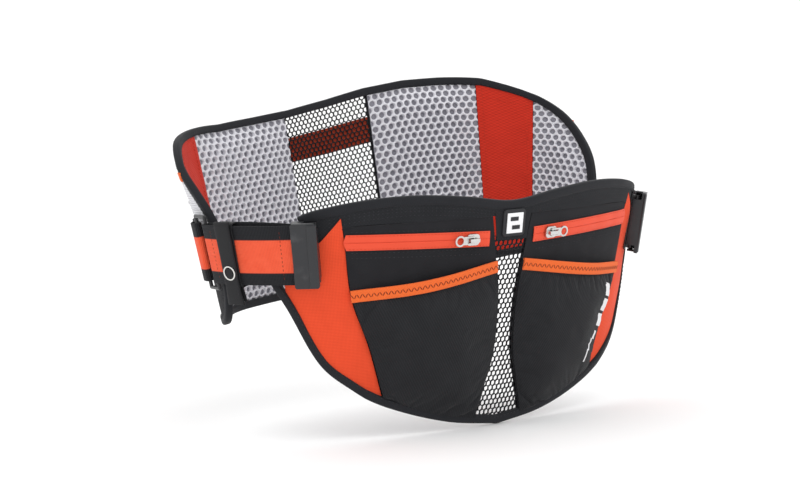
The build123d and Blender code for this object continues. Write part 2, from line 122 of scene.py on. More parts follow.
# ---- Front column net ----
# An open black net down the middle of the pack, knitted in six-sided holes and sewn in behind both
# pockets. Every cloth piece is cut flat, in millimetres along, up and out, and then bent round the belt.
MM = 0.001
HALF_WIDTH = 149.0
HALF_DEPTH = 92.0
SIDE_RADIUS = 80.0
TAPER = 0.19
SIDE_CENTRE = HALF_WIDTH - SIDE_RADIUS
WIDTH_LEFT = HALF_DEPTH - SIDE_RADIUS
FRONT_CENTRE = (SIDE_CENTRE**2 - WIDTH_LEFT**2) / (2 * WIDTH_LEFT)
FRONT_RADIUS = HALF_DEPTH + FRONT_CENTRE
FRONT_ANGLE = atan2(SIDE_CENTRE, FRONT_CENTRE)
FRONT_LENGTH = FRONT_RADIUS * FRONT_ANGLE
SIDE_LENGTH = SIDE_RADIUS * (pi - 2 * FRONT_ANGLE)
GIRTH = 4 * FRONT_LENGTH + 2 * SIDE_LENGTH
ARCS = (
    (-FRONT_LENGTH - SIDE_LENGTH, -SIDE_CENTRE, 0, SIDE_RADIUS, FRONT_ANGLE - pi),
    (-FRONT_LENGTH, 0, FRONT_CENTRE, FRONT_RADIUS, -FRONT_ANGLE),
    (FRONT_LENGTH, SIDE_CENTRE, 0, SIDE_RADIUS, FRONT_ANGLE),
    (FRONT_LENGTH + SIDE_LENGTH, 0, -FRONT_CENTRE, FRONT_RADIUS, pi - FRONT_ANGLE),
    (3 * FRONT_LENGTH + SIDE_LENGTH, -SIDE_CENTRE, 0, SIDE_RADIUS, pi + FRONT_ANGLE),
)
SIDES = (("left", 1), ("right", -1))
NET_PITCH = 3.5
NET_THREAD = 0.62
NET_THICKNESS = 0.95
COLUMN = ((0, 11), (-20, 9), (-38, 6.8), (-69, 7.5), (-93, 13.8), (-113, 20), (-120, 22))
PACK_LINE = ((-159, -18), (-150, -33), (-130.5, -69), (-107, -86.5), (-82, -99), (-40, -111.5), (0, -117))


def ring_point(along, up, out):
    """Where a point of the flat pattern lies on the belt, in metres."""
    start, centre_x, centre_y, radius, first = [a for a in ARCS if a[0] <= along + 1e-9][-1]
    turn = first + (along - start) / radius
    up -= TAPER * out / (1 + TAPER**2)
    reach = radius + out + TAPER * up
    return Vector((centre_x + reach * sin(turn), centre_y - reach * cos(turn), up)) * MM


def edit(piece):
    """Opens one piece alone in edit mode, with nothing selected."""
    bpy.ops.object.select_all(action="DESELECT")
    piece.select_set(True)
    bpy.context.view_layer.objects.active = piece
    bpy.ops.object.mode_set(mode="EDIT")
    bpy.ops.mesh.select_all(action="DESELECT")


def leave():
    bpy.ops.object.mode_set(mode="OBJECT")


def shape_with(piece, kind, **settings):
    """Adds one modifier and applies it."""
    bpy.ops.object.select_all(action="DESELECT")
    piece.select_set(True)
    bpy.context.view_layer.objects.active = piece
    modifier = piece.modifiers.new(kind.lower(), kind)
    for key, value in settings.items():
        setattr(modifier, key, value)
    bpy.ops.object.modifier_apply(modifier=modifier.name)


def keep_pattern(piece):
    """Stores the flat pattern's millimetres as the piece's UV map."""
    layer = piece.data.uv_layers.get("pattern") or piece.data.uv_layers.new(name="pattern")
    for loop in piece.data.loops:
        spot = piece.data.vertices[loop.vertex_index].co
        layer.data[loop.index].uv = (spot.x, spot.y)


def bend(piece, smooth=50):
    """Bends a flat piece round the belt."""
    for vertex in piece.data.vertices:
        vertex.co = ring_point(*vertex.co)
    piece.data.update()
    bpy.ops.object.select_all(action="DESELECT")
    piece.select_set(True)
    bpy.context.view_layer.objects.active = piece
    bpy.ops.object.shade_smooth_by_angle(angle=radians(smooth))


def turn_over(piece):
    """Turns a left piece into its right-hand twin, with its faces still outwards."""
    piece.data.transform(Matrix.Scale(-1, 4, (1, 0, 0)))
    piece.data.flip_normals()


def fit(piece, body, material, nodes=()):
    """Gives a finished piece its cloth, its body and the solids it stands for."""
    if material.name not in piece.data.materials:
        piece.data.materials.append(material)
    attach(piece, body)
    if nodes:
        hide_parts(*nodes)


def wave(tree, spot, across, up):
    """Sine waves on the flat pattern; across and up are waves per millimetre."""
    turn = add_node(tree, "VectorMath", {0: spot, 1: (across * 2 * pi, up * 2 * pi, 0)},
                    operation="DOT_PRODUCT")
    return add_node(tree, "Math", {0: turn.outputs["Value"]}, operation="SINE").outputs[0]


def cloth(name, colour, gap, first, second=None, rough=0.85, sheen=0.05, depth=0.15, fade=0.10):
    """Woven or knitted cloth: waves of thread with painted shade between threads, uneven and a little worn.
    """
    material, tree, shader = start_material(name, rough, sheen, shine=0.12)
    spot = add_node(tree, "UVMap", uv_map="pattern").outputs["UV"]
    height = wave(tree, spot, *first)
    if second:
        height = add_node(tree, "Math", {0: height, 1: wave(tree, spot, *second)},
                          operation="MULTIPLY").outputs[0]
    height = add_node(tree, "MapRange", {"Value": height, "From Min": -1.0, "From Max": 1.0}).outputs[0]
    patches = add_node(tree, "TexNoise", {"Vector": spot, "Scale": 0.07, "Detail": 3.0})
    fuzz = add_node(tree, "TexNoise", {"Vector": spot, "Scale": 1.7, "Detail": 4.0})
    # The gap colour is painted shade: where the thread waves run low, between threads, the cloth is mixed
    # towards it.
    threads = add_node(tree, "Mix", {"Factor": height, "A": (*gap, 1), "B": (*colour, 1)},
                       data_type="RGBA")
    pale = tuple(min(1.0, c * (1 + 2 * fade) + 0.06 * fade) for c in colour)
    deep = tuple(c * (1 - 2 * fade) for c in colour)
    tone = add_node(tree, "Mix", {"Factor": patches.outputs["Fac"], "A": (*deep, 1), "B": (*pale, 1)},
                    data_type="RGBA")
    mixed = add_node(tree, "Mix", {"Factor": 0.45, "A": threads.outputs["Result"],
                                   "B": tone.outputs["Result"]}, data_type="RGBA")
    worn = add_node(tree, "MapRange", {"Value": fuzz.outputs["Fac"], "From Min": 0.62, "From Max": 0.8,
                                       "To Max": 0.3})
    final = add_node(tree, "Mix", {"Factor": worn.outputs[0], "A": mixed.outputs["Result"],
                                   "B": (*pale, 1)}, data_type="RGBA")
    tree.links.new(final.outputs["Result"], shader.inputs["Base Color"])
    raised = add_node(tree, "Math", {0: fuzz.outputs["Fac"], 1: 0.5, 2: height},
                      operation="MULTIPLY_ADD")
    bump = add_node(tree, "Bump", {"Height": raised.outputs[0], "Strength": 0.6,
                                   "Distance": depth * MM})
    tree.links.new(bump.outputs["Normal"], shader.inputs["Normal"])
    return material


def on_line(points, part):
    """The point part of the way along a smooth line through a few points."""
    steps = [(Vector(b) - Vector(a)).length for a, b in zip(points, points[1:])]
    left = min(max(part, 0.0), 1.0) * sum(steps)
    index = 0
    while index < len(steps) - 1 and left > steps[index]:
        left -= steps[index]
        index += 1
    t = min(left / steps[index], 1.0)
    b, c = Vector(points[index]), Vector(points[index + 1])
    a = Vector(points[index - 1]) if index else 2 * b - c
    d = Vector(points[index + 2]) if index + 2 < len(points) else 2 * c - b
    leave_b = (c - a) * steps[index] / max((c - a).length, 1e-6)
    reach_c = (d - b) * steps[index] / max((d - b).length, 1e-6)
    return ((2 * t**3 - 3 * t**2 + 1) * b + (t**3 - 2 * t**2 + t) * leave_b
            + (3 * t**2 - 2 * t**3) * c + (t**3 - t**2) * reach_c)


def height_on(line, along):
    """How high a line that runs from left to right is at one place."""
    for a, b in zip(line, line[1:]):
        if a[0] <= along <= b[0]:
            return a[1] + (b[1] - a[1]) * (along - a[0]) / (b[0] - a[0])
    return line[0][1] if along < line[0][0] else line[-1][1]


def pack_bottom(along):
    return height_on(PACK_LINE, -abs(along))


def column_half(up):
    return height_on([(-p[0], p[1]) for p in COLUMN], -up)


def honeycomb(name, pitch, thread, low, high):
    """A flat net of six-sided holes that fills a rectangle."""
    size = pitch / sqrt(3)
    bpy.ops.mesh.primitive_circle_add(vertices=6, radius=size, fill_type="NGON",
                                      location=(low[0], low[1], 0))
    net = bpy.context.object
    net.name = name
    bpy.ops.object.transform_apply(location=True, rotation=True, scale=True)
    edit(net)
    bpy.ops.mesh.select_all(action="SELECT")
    bpy.ops.mesh.inset(thickness=thread / 2)
    bpy.ops.mesh.delete(type="FACE")
    leave()
    columns = int((high[0] - low[0]) / pitch) + 1
    rows = int((high[1] - low[1]) / (3 * size)) + 1
    for offset, count in (((pitch / 2, 1.5 * size, 0), 2), ((pitch, 0, 0), columns),
                          ((0, 3 * size, 0), rows)):
        shape_with(net, "ARRAY", count=count, use_relative_offset=False, use_constant_offset=True,
                   constant_offset_displace=offset, use_merge_vertices=True, merge_threshold=0.01)
    return net


def trim_net(net, inside):
    """Cuts away what lies outside the seams."""
    edit(net)
    shape = bmesh.from_edit_mesh(net.data)
    for face in shape.faces:
        spot = face.calc_center_median()
        face.select = not inside(spot.x, spot.y)
    bmesh.update_edit_mesh(net.data)
    bpy.ops.mesh.delete(type="FACE")
    leave()


black_net = cloth("black_net", (0.016, 0.016, 0.019), (0.006, 0.006, 0.007), (1.6, 0.5), depth=0.1)
net = honeycomb("column_net", NET_PITCH, NET_THREAD, (-24, -118), (24, -1))
trim_net(net, lambda x, y: abs(x) < column_half(y) + 2.2 and y > pack_bottom(x) + 2.5)
keep_pattern(net)
for vertex in net.data.vertices:
    vertex.co.z = 0.15 + 0.8 * sin(pi * min(1, -vertex.co.y / 116)) * (1 - abs(vertex.co.x) / 24)
shape_with(net, "SOLIDIFY", thickness=NET_THICKNESS, offset=0)
bend(net)
fit(net, "belt", black_net, ["centre_mesh"])

# ---- Black lining behind the pockets ----
# Thin black nylon behind each pocket, from the column to the wing's seam and the strap.


def flat_panel(name, top, bottom, left, right, across, down, lift=None):
    """A flat pattern piece between four smooth edges. Top and bottom run along, the others down."""
    bpy.ops.mesh.primitive_grid_add(x_subdivisions=across, y_subdivisions=down, size=1,
                                    location=(0.5, 0.5, 0))
    piece = bpy.context.object
    piece.name = name
    bpy.ops.object.transform_apply(location=True, rotation=True, scale=True)
    corners = [Vector(p) for p in (top[0], top[-1], bottom[0], bottom[-1])]
    places = []
    for vertex in piece.data.vertices:
        s, t = vertex.co.x, 1 - vertex.co.y
        places.append((s, t))
        sides = (1 - t) * on_line(top, s) + t * on_line(bottom, s) \
            + (1 - s) * on_line(left, t) + s * on_line(right, t)
        double = (1 - s) * (1 - t) * corners[0] + s * (1 - t) * corners[1] \
            + (1 - s) * t * corners[2] + s * t * corners[3]
        spot = sides - double
        vertex.co = (spot.x, spot.y, 0)
    keep_pattern(piece)
    if lift:
        for vertex, (s, t) in zip(piece.data.vertices, places):
            vertex.co.z = lift(s, t, vertex.co.x, vertex.co.y)
    return piece, places


def crease(x, y, size, seed):
    """Soft uneven folds, from -1 to 1."""
    return noise.noise(Vector((x / size, y / size, seed))) * 1.4


def middle(s, t, power=0.5):
    """1 in the middle of a panel and 0 at its seams."""
    return max(0.0, 16 * s * (1 - s) * t * (1 - t)) ** power


def give_thickness(piece, thickness, offset=1.0):
    shape_with(piece, "SOLIDIFY", thickness=thickness, offset=offset)


black_lining = cloth("black_lining", (0.016, 0.016, 0.019), (0.007, 0.007, 0.008), (1.1, 0), (0, 1.1))
for number, (side, hand) in enumerate(SIDES):
    lining, _ = flat_panel(
        side + "_pack_lining",
        [(-148, 9), (-124, 9.5), (-112, 14), (-60, 14.5), (-15, 14.5)],
        [(-148, -32), (-129, -66.5), (-82, -93.5), (-19, -111)],
        [(-148, 9), (-149, -12), (-148, -32)],
        [(-15, 14.5), (-12, -4), (-9.5, -20), (-7.2, -38), (-7.8, -69), (-14, -93), (-19, -111)],
        70, 60, lambda s, t, x, y: -0.6 + 0.35 * crease(x, y, 22, 3.0 + number) * middle(s, t))
    give_thickness(lining, 0.5, 0)
    if hand < 0:
        turn_over(lining)
    bend(lining)
    fit(lining, "belt", black_lining, [side + "_front_liner"])

# ---- Orange wings ----
# Orange-red plain-weave nylon, one triangle each side between the strap and the pocket's seam.
WING_SEAM = ((-112.6, 19.8), (-110.8, 3), (-107.3, -30), (-96.3, -59), (-86.5, -92))
orange_nylon = cloth("orange_nylon", (0.83, 0.085, 0.028), (0.50, 0.035, 0.012), (0.55, 0.55), (0.55, -0.55),
                     rough=0.75, sheen=0.06, depth=0.12, fade=0.09)
for number, (side, hand) in enumerate(SIDES):
    wing, _ = flat_panel(
        side + "_wing_cloth",
        [(-148, -4), (-137, -2), (-126, 5), (-118, 13.5), (-112.6, 19.8)],
        [(-148, -33), (-130, -66), (-107, -84), (-86.5, -92.5)],
        [(-148, -4), (-149.5, -18), (-148, -33)],
        list(WING_SEAM[:-1]) + [(-86.5, -92.5)],
        48, 64, lambda s, t, x, y: 0.6 + (0.9 * crease(x, y, 26, 7.0 + number) + 0.5) * middle(s, t, 0.7)
        + 0.5 * sin(pi * s) * sin(2.2 * pi * t + 1.0)
        + 2.0 * min(1, max(0, (x + 134) / 16)) * max(0, 1 - 4 * t) ** 1.5)
    give_thickness(wing, 0.5, 0)
    if hand < 0:
        turn_over(wing)
    bend(wing)
    fit(wing, "belt", orange_nylon, [side + "_wing"])

# ---- Black yokes ----
# Black stretch cloth that carries the zip, from the top band down behind the pocket.
YOKE_LEVEL = 1.6
black_stretch = cloth("black_stretch", (0.018, 0.018, 0.021), (0.008, 0.008, 0.009), (0.75, 0.2), (0.2, -0.9),
                      sheen=0.06, depth=0.12, fade=0.14)
for number, (side, hand) in enumerate(SIDES):
    yoke, _ = flat_panel(
        side + "_yoke_cloth",
        [(-111.5, 14.3), (-60, 14.6), (-15, 14.6)],
        [(-86, -91.5), (-50, -105), (-19, -111)],
        [(-111.5, 14.3), (-106.7, -30), (-95.7, -59), (-86, -91.5)],
        [(-15, 14.6), (-11.8, -4), (-9.5, -20), (-7.2, -38), (-7.8, -69), (-14, -93), (-19, -111)],
        70, 64, lambda s, t, x, y: YOKE_LEVEL + (0.5 * crease(x, y * 1.8, 20, 11.0 + number)
                                                 + 0.25 * crease(x, y * 3, 9, 13.0)) * middle(s, t, 0.6))
    give_thickness(yoke, 0.6, 0)
    if hand < 0:
        turn_over(yoke)
    bend(yoke)
    fit(yoke, "belt", black_stretch, [side + "_yoke"])

# ---- Stretch pockets ----
# A fine black rib knit sewn in at the wing, the lower edge and the column, and open at its hem.
# It is slack enough to belly out over the yoke.
HEM_LINE = ((-107.8, -24), (-75, -21), (-44, -17.2), (-10.2, -12.8))
POCKET_BELLY = 8.4
POCKET_HELD = 0.085
HEM_RISE = 5.5
SIM_SCALE = 0.01
SIM_FRAMES = 22


def hem_out(s):
    """How far the pocket's mouth stands off the yoke."""
    return 2.6 + HEM_RISE * sin(pi * min(max(s, 0.0), 1.0)) ** 1.5


def billow(piece, places, sewn, push, slack, cap, top=0.008):
    """Lets held cloth billow outwards as a simulated cloth, then keeps its shape."""
    start = [v.co.copy() for v in piece.data.vertices]
    group = piece.vertex_groups.new(name="seams")
    for index, (s, t) in enumerate(places):
        group.add([index], 1.0 if min(s, 1 - s, 1 - t) < sewn or t < top else 0.0, "REPLACE")
    piece.data.transform(Matrix.Scale(SIM_SCALE, 4))
    bpy.ops.object.select_all(action="DESELECT")
    piece.select_set(True)
    bpy.context.view_layer.objects.active = piece
    modifier = piece.modifiers.new("cloth", "CLOTH")
    settings = modifier.settings
    settings.quality = 6
    settings.mass = 0.3
    settings.tension_stiffness = 18
    settings.compression_stiffness = 12
    settings.shear_stiffness = 6
    settings.bending_stiffness = 0.15
    settings.air_damping = 3
    settings.vertex_group_mass = "seams"
    settings.shrink_min = -slack
    settings.shrink_max = -slack
    settings.effector_weights.gravity = 0
    settings.use_pressure = True
    settings.uniform_pressure_force = push
    modifier.collision_settings.use_self_collision = False
    modifier.point_cache.frame_start = 1
    modifier.point_cache.frame_end = SIM_FRAMES
    for number in range(1, SIM_FRAMES + 1):
        bpy.context.scene.frame_set(number)
    bpy.ops.object.modifier_apply(modifier=modifier.name)
    bpy.context.scene.frame_set(1)
    piece.data.transform(Matrix.Scale(1 / SIM_SCALE, 4))
    piece.vertex_groups.clear()
    for vertex, before in zip(piece.data.vertices, start):
        rise = max(-0.2, min(vertex.co.z - before.z, cap))
        vertex.co.z = before.z + rise
        for axis in (0, 1):
            shift = vertex.co[axis] - before[axis]
            vertex.co[axis] = before[axis] + max(-2.0, min(2.0, shift))


pocket_knit = cloth("pocket_knit", (0.019, 0.0195, 0.022), (0.009, 0.009, 0.010), (0.62, 0.35),
                    sheen=0.06, depth=0.16, fade=0.14)
for number, (side, hand) in enumerate(SIDES):
    pocket, places = flat_panel(
        side + "_pocket_cloth",
        [(p[0], p[1] - 1.5) for p in HEM_LINE],
        [(-86, -91.5), (-50, -105), (-19, -111)],
        [(-107.8, -25.5), (-101.8, -45), (-95.6, -59), (-86, -91.5)],
        [(-10.2, -14.3), (-7.6, -38), (-8.2, -69), (-14.2, -93), (-19, -111)],
        84, 76, lambda s, t, x, y: 2.5 + (hem_out(s) - 2.6) * (1 - t) ** 1.5
        + 0.5 * crease(x, y, 12, 17.0 + number) * middle(s, t))
    billow(pocket, places, 0.008, 2.2, 0.035, POCKET_BELLY, POCKET_HELD)
    give_thickness(pocket, 0.7, 1.0)
    if hand < 0:
        cover = BVHTree.FromPolygons([v.co for v in pocket.data.vertices],
                                     [tuple(f.vertices) for f in pocket.data.polygons])
        turn_over(pocket)
    bend(pocket)
    fit(pocket, "belt", pocket_knit, [side + "_stretch_pocket"])

# ---- Pocket hems ----
# Orange ribbed elastic folded over each pocket's mouth and sewn with a dark zigzag.
HEM_HALF = 3.7
HEM_THICK = 0.9


def sweep(name, line, profile, steps, closed=False, shift=None):
    """A tape: a closed profile of (aside, out) points carried along a flat line."""
    around = len(profile)
    bpy.ops.mesh.primitive_grid_add(x_subdivisions=steps, y_subdivisions=around, size=1,
                                    location=(0.5, 0.5, 0))
    piece = bpy.context.object
    piece.name = name
    bpy.ops.object.transform_apply(location=True, rotation=True, scale=True)
    layer = piece.data.uv_layers.get("pattern") or piece.data.uv_layers.new(name="pattern")
    length = sum((Vector(b) - Vector(a)).length for a, b in zip(line, line[1:]))
    girth = [0.0]
    for a, b in zip(profile, list(profile[1:]) + [profile[0]]):
        girth.append(girth[-1] + (Vector(b) - Vector(a)).length)
    marks = []
    for vertex in piece.data.vertices:
        s, k = vertex.co.x, round(vertex.co.y * around)
        spot = on_line(line, s)
        run = (on_line(line, min(s + 0.002, 1)) - on_line(line, max(s - 0.002, 0))).normalized()
        if closed and (s < 0.002 or s > 0.998):
            run = (on_line(line, 0.002) - on_line(line, 0.998)).normalized()
        aside, out = profile[k % around]
        out += shift(s) if shift else 0.0
        vertex.co = (spot.x - run.y * aside, spot.y + run.x * aside, out)
        marks.append((s * length, girth[k]))
    for loop in piece.data.loops:
        layer.data[loop.index].uv = marks[loop.vertex_index]
    edit(piece)
    bpy.ops.mesh.select_all(action="SELECT")
    bpy.ops.mesh.remove_doubles(threshold=0.001)
    if not closed:
        bpy.ops.mesh.select_all(action="DESELECT")
        bpy.ops.mesh.select_non_manifold()
        bpy.ops.mesh.edge_face_add()
    bpy.ops.mesh.select_all(action="SELECT")
    bpy.ops.mesh.normals_make_consistent(inside=False)
    leave()
    return piece


def rounded(half, low, high, corner=0.5):
    """The profile of a flat tape with rounded edges."""
    middle_level, rise = (low + high) / 2, (high - low) / 2
    points = []
    for index in range(16):
        turn = 2 * pi * (index + 0.5) / 16
        c, s = cos(turn), sin(turn)
        points.append((half * abs(c) ** corner * (1 if c > 0 else -1),
                       middle_level + rise * abs(s) ** corner * (1 if s > 0 else -1)))
    return points


def sew(name, line, length, gap, width, out, swing=0.0, shift=None, height=0.3):
    """A row of stitches along a flat line; swing turns it into a zigzag that wide."""
    total = sum((Vector(b) - Vector(a)).length for a, b in zip(line, line[1:]))
    count = max(1, int(total / (length + gap)))
    bpy.ops.mesh.primitive_ico_sphere_add(subdivisions=1, radius=0.5)
    seed = bpy.context.object
    shape = bmesh.new()
    for index in range(count):
        s = (index + 0.5) / count
        spot = on_line(line, s)
        run = (on_line(line, min(s + 0.004, 1)) - on_line(line, max(s - 0.004, 0))).normalized()
        slant = 0.0
        if swing:
            slant = atan2(swing, length) * (1 if index % 2 else -1)
        level = out + (shift(s) if shift else 0.0)
        frame_of = (Matrix.Translation((spot.x, spot.y, level)) @ Matrix.Rotation(
            atan2(run.y, run.x) + slant, 4, "Z") @ Matrix.Diagonal(
                (sqrt(length**2 + swing**2), width, height, 1)))
        before = len(shape.verts)
        shape.from_mesh(seed.data)
        shape.verts.ensure_lookup_table()
        for vertex in shape.verts[before:]:
            vertex.co = frame_of @ vertex.co
    bpy.data.objects.remove(seed)
    mesh = bpy.data.meshes.new(name)
    shape.to_mesh(mesh)
    shape.free()
    piece = bpy.data.objects.new(name, mesh)
    bpy.context.scene.collection.objects.link(piece)
    keep_pattern(piece)
    return piece


orange_elastic = cloth("orange_elastic", (0.88, 0.165, 0.035), (0.55, 0.07, 0.015), (1.1, 0), (0, 0.45),
                       rough=0.7, depth=0.2, fade=0.07)
dark_thread = cloth("dark_thread", (0.16, 0.022, 0.012), (0.08, 0.012, 0.008), (1.5, 0), depth=0.05)
black_thread = cloth("black_thread", (0.045, 0.046, 0.052), (0.02, 0.02, 0.022), (1.5, 0), depth=0.05)
hem_path = [on_line(HEM_LINE, i / 24) - Vector((0, HEM_HALF)) for i in range(25)]
for side, hand in SIDES:
    hem = sweep(side + "_hem_elastic", hem_path, rounded(HEM_HALF, 0.0, HEM_THICK * 2, 0.4), 90,
                shift=lambda s: hem_out(s) - 0.2)
    stitches = sew(side + "_hem_zigzag", hem_path, 1.7, 0.0, 0.6, HEM_THICK * 2 + 0.02, swing=2.9,
                   shift=lambda s: hem_out(s) - 0.2)
    for piece in (hem, stitches):
        if hand < 0:
            turn_over(piece)
        bend(piece)
    fit(hem, "belt", orange_elastic, [side + "_pocket_hem"])
    fit(stitches, "belt", dark_thread)

# ---- Pocket print ----
# Plain white blocks and bars printed up the outer edge of the right pocket.
def surface_height(surface, spot):
    """How far out a flat piece's outer face is at one spot."""
    hit = surface.ray_cast(Vector((spot.x, spot.y, 50)), Vector((0, 0, -1)))[0]
    return hit.z if hit else 0.0


white_print = cloth("white_print", (0.80, 0.80, 0.81), (0.66, 0.66, 0.67), (0.9, 0), (0, 0.9), depth=0.05,
                    fade=0.03)
PRINT_RUN = (-0.30, 0.954)
PRINTS = ((-82.5, -62, 8.0, 3.8), (-85.4, -52.5, 8.0, 3.8), (-88.3, -43, 8.0, 3.8),
          (-80, -70.5, 5.5, 1.3), (-74.5, -77, 8.0, 0.7), (-70.5, -84, 8.5, 0.6))
for mark, (x, y, length, half) in enumerate(PRINTS):
    line = [Vector((x, y)), Vector((x + length * PRINT_RUN[0], y + length * PRINT_RUN[1]))]
    printed = sweep(f"pocket_print_{mark}", line, rounded(half, -0.1, 0.25, 0.25), 12,
                    shift=lambda part: surface_height(cover, on_line(line, part)))
    turn_over(printed)
    bend(printed)
    fit(printed, "belt", white_print)

# ---- Zips ----
# A reversed coil zip in each yoke: orange tape sewn down with two rows, its teeth hidden in a groove.
ZIP_HALF = 4.7
ZIP_LEVEL = YOKE_LEVEL + 0.55
orange_tape = cloth("orange_tape", (0.86, 0.10, 0.045), (0.55, 0.04, 0.02), (0.9, 0), (0, 0.9),
                    rough=0.5, sheen=0.1, depth=0.1, fade=0.06)
orange_thread = cloth("orange_thread", (0.62, 0.05, 0.02), (0.3, 0.02, 0.01), (1.5, 0), depth=0.05)


def zip_height(along):
    """The zip climbs a little from the badge to the wing."""
    return 1.3 + 3.7 * (-along - 17) / 93


def zip_line(start, end, aside):
    return [(start, zip_height(start) + aside), (end, zip_height(end) + aside)]


for number, (side, hand) in enumerate(SIDES):
    outer_end = [(-110, zip_height(-110) + ZIP_HALF), (-111.4, zip_height(-110)),
                 (-110, zip_height(-110) - ZIP_HALF)]
    tape, _ = flat_panel(
        side + "_zip_cloth", zip_line(-110, -17, ZIP_HALF), zip_line(-110, -17, -ZIP_HALF), outer_end,
        [(-17, 1.3 + ZIP_HALF), (-17, 1.3 - ZIP_HALF)],
        100, 24, lambda s, t, x, y: ZIP_LEVEL + 0.7 - 1.0 * abs(t - 0.5) ** 1.5
        - (0.4 if abs(t - 0.5) < 0.03 else 0) + 0.15 * crease(x, 0, 9, 21.0 + number))
    give_thickness(tape, 0.4, 0)
    rows = [sew(f"{side}_zip_row_{row}", zip_line(-109, -18, aside), 1.6, 0.6, 0.3, ZIP_LEVEL + 0.72,
                height=0.25) for row, aside in (("high", 3.9), ("low", -3.9))]
    coil = sew(side + "_zip_teeth", zip_line(-109, -19, 0), 0.55, 0.35, 0.9, ZIP_LEVEL + 0.5, height=0.6)
    edge_rows = [sew(f"{side}_yoke_row_{row}", zip_line(-108, -19, aside), 1.3, 1.5, 0.4,
                     YOKE_LEVEL + 0.5, height=0.4)
                 for row, aside in (("high", 6.2), ("low", -6.4), ("lower", -9.5))]
    for piece in [tape, coil] + rows + edge_rows:
        if hand < 0:
            turn_over(piece)
        bend(piece)
    fit(tape, "belt", orange_tape, [side + "_zip_tape"])
    fit(coil, "belt", orange_thread, [side + "_zip_coil"])
    for piece in rows:
        fit(piece, "belt", orange_thread)
    for piece in edge_rows:
        fit(piece, "belt", black_thread)

# ---- Top band of the pack ----
# A black knitted elastic across the top of the pack, with a rolled upper edge and rows of open stitches.
BAND_TOP = ((-136, 21), (-126, 24.5), (-100, 29), (-68, 30.2), (-35, 27.5), (0, 23))
black_knit = cloth("black_knit", (0.019, 0.020, 0.023), (0.008, 0.008, 0.009), (0.5, 0), (0, 0.5),
                   sheen=0.06, depth=0.2, fade=0.12)
black_tape = cloth("black_tape", (0.019, 0.020, 0.024), (0.009, 0.009, 0.010), (0.9, 0), (0, 0.3),
                   rough=0.7, sheen=0.06, depth=0.15, fade=0.10)
BAND_LEVEL = 1.9
PATCH_LEVEL = 2.3
half_top = list(BAND_TOP)
whole_top = half_top + [(-p[0], p[1]) for p in half_top[-2::-1]]
half_under = [(-136, -3.5), (-126, 2), (-118, 9), (-112, 13), (-104, 14.8), (-60, 14.8), (0, 14.8)]
band, _ = flat_panel(
    "top_band_knit", whole_top,
    half_under + [(-p[0], p[1]) for p in half_under[-2::-1]],
    [(-136, 21), (-136, 10), (-136, -3.5)], [(136, 21), (136, 10), (136, -3.5)], 260, 18,
    lambda s, t, x, y: BAND_LEVEL - 1.1 * min(1, max(0, (abs(x) - 117) / 8))
    + 0.35 * crease(x, y * 2, 14, 25.0) * sin(pi * t))
give_thickness(band, 0.7, 0)
roll = sweep("top_band_roll", [on_line(whole_top, i / 60) - Vector((0, 2.4)) for i in range(61)],
             rounded(2.9, -1.2, 2.9, 0.55), 180,
             shift=lambda s: -1.0 * max(0, abs(2 * s - 1) - 0.86) / 0.14)
for piece in (band, roll):
    bend(piece)
fit(band, "belt", black_knit, ["front_top_band"])
fit(roll, "belt", black_tape)
patch, _ = flat_panel("badge_patch", [(-14, 17), (14, 17)], [(-11.5, -0.5), (11.5, -0.5)],
                           [(-14, 17), (-12.5, 8), (-11.5, -0.5)], [(14, 17), (12.5, 8), (11.5, -0.5)],
                           20, 14, lambda s, t, x, y: PATCH_LEVEL)
give_thickness(patch, 0.6, 0)
bend(patch)
fit(patch, "belt", black_knit)
for row, offset in (("a", 6.8), ("b", 8.6), ("c", 11.2)):
    line = [on_line(whole_top, 0.06 + 0.88 * i / 60) - Vector((0, offset)) for i in range(61)]
    dots = sew("top_band_row_" + row, line, 0.9, 1.9, 0.5, PATCH_LEVEL, height=0.4)
    bend(dots)
    fit(dots, "belt", black_thread)

# ---- Lower binding of the pack ----
# Folded black grosgrain tape round the pack's lower edge, from strap to strap, with one row of stitches.
half_low = [on_line(PACK_LINE, i / 40) for i in range(41)]
whole_low = half_low + [Vector((-p.x, p.y)) for p in half_low[-2::-1]]


def beside(line, distance):
    """The same line moved to its left as it runs."""
    moved = []
    for index, spot in enumerate(line):
        run = (line[min(index + 1, len(line) - 1)] - line[max(index - 1, 0)]).normalized()
        moved.append(spot + Vector((-run.y, run.x)) * distance)
    return moved


EDGE_INSET = 2.6
EDGE_STITCH_INSET = 4.4
edge_line = beside(whole_low, EDGE_INSET)
binding = sweep("pack_edge_tape", edge_line, rounded(2.7, -1.4, 3.0, 0.5), 260)
seam = sew("pack_edge_stitches", beside(whole_low, EDGE_STITCH_INSET), 1.9, 0.9, 0.35, 3.0, height=0.3)
for piece in (binding, seam):
    bend(piece)
fit(binding, "belt", black_tape, ["front_binding"])
fit(seam, "belt", black_thread)

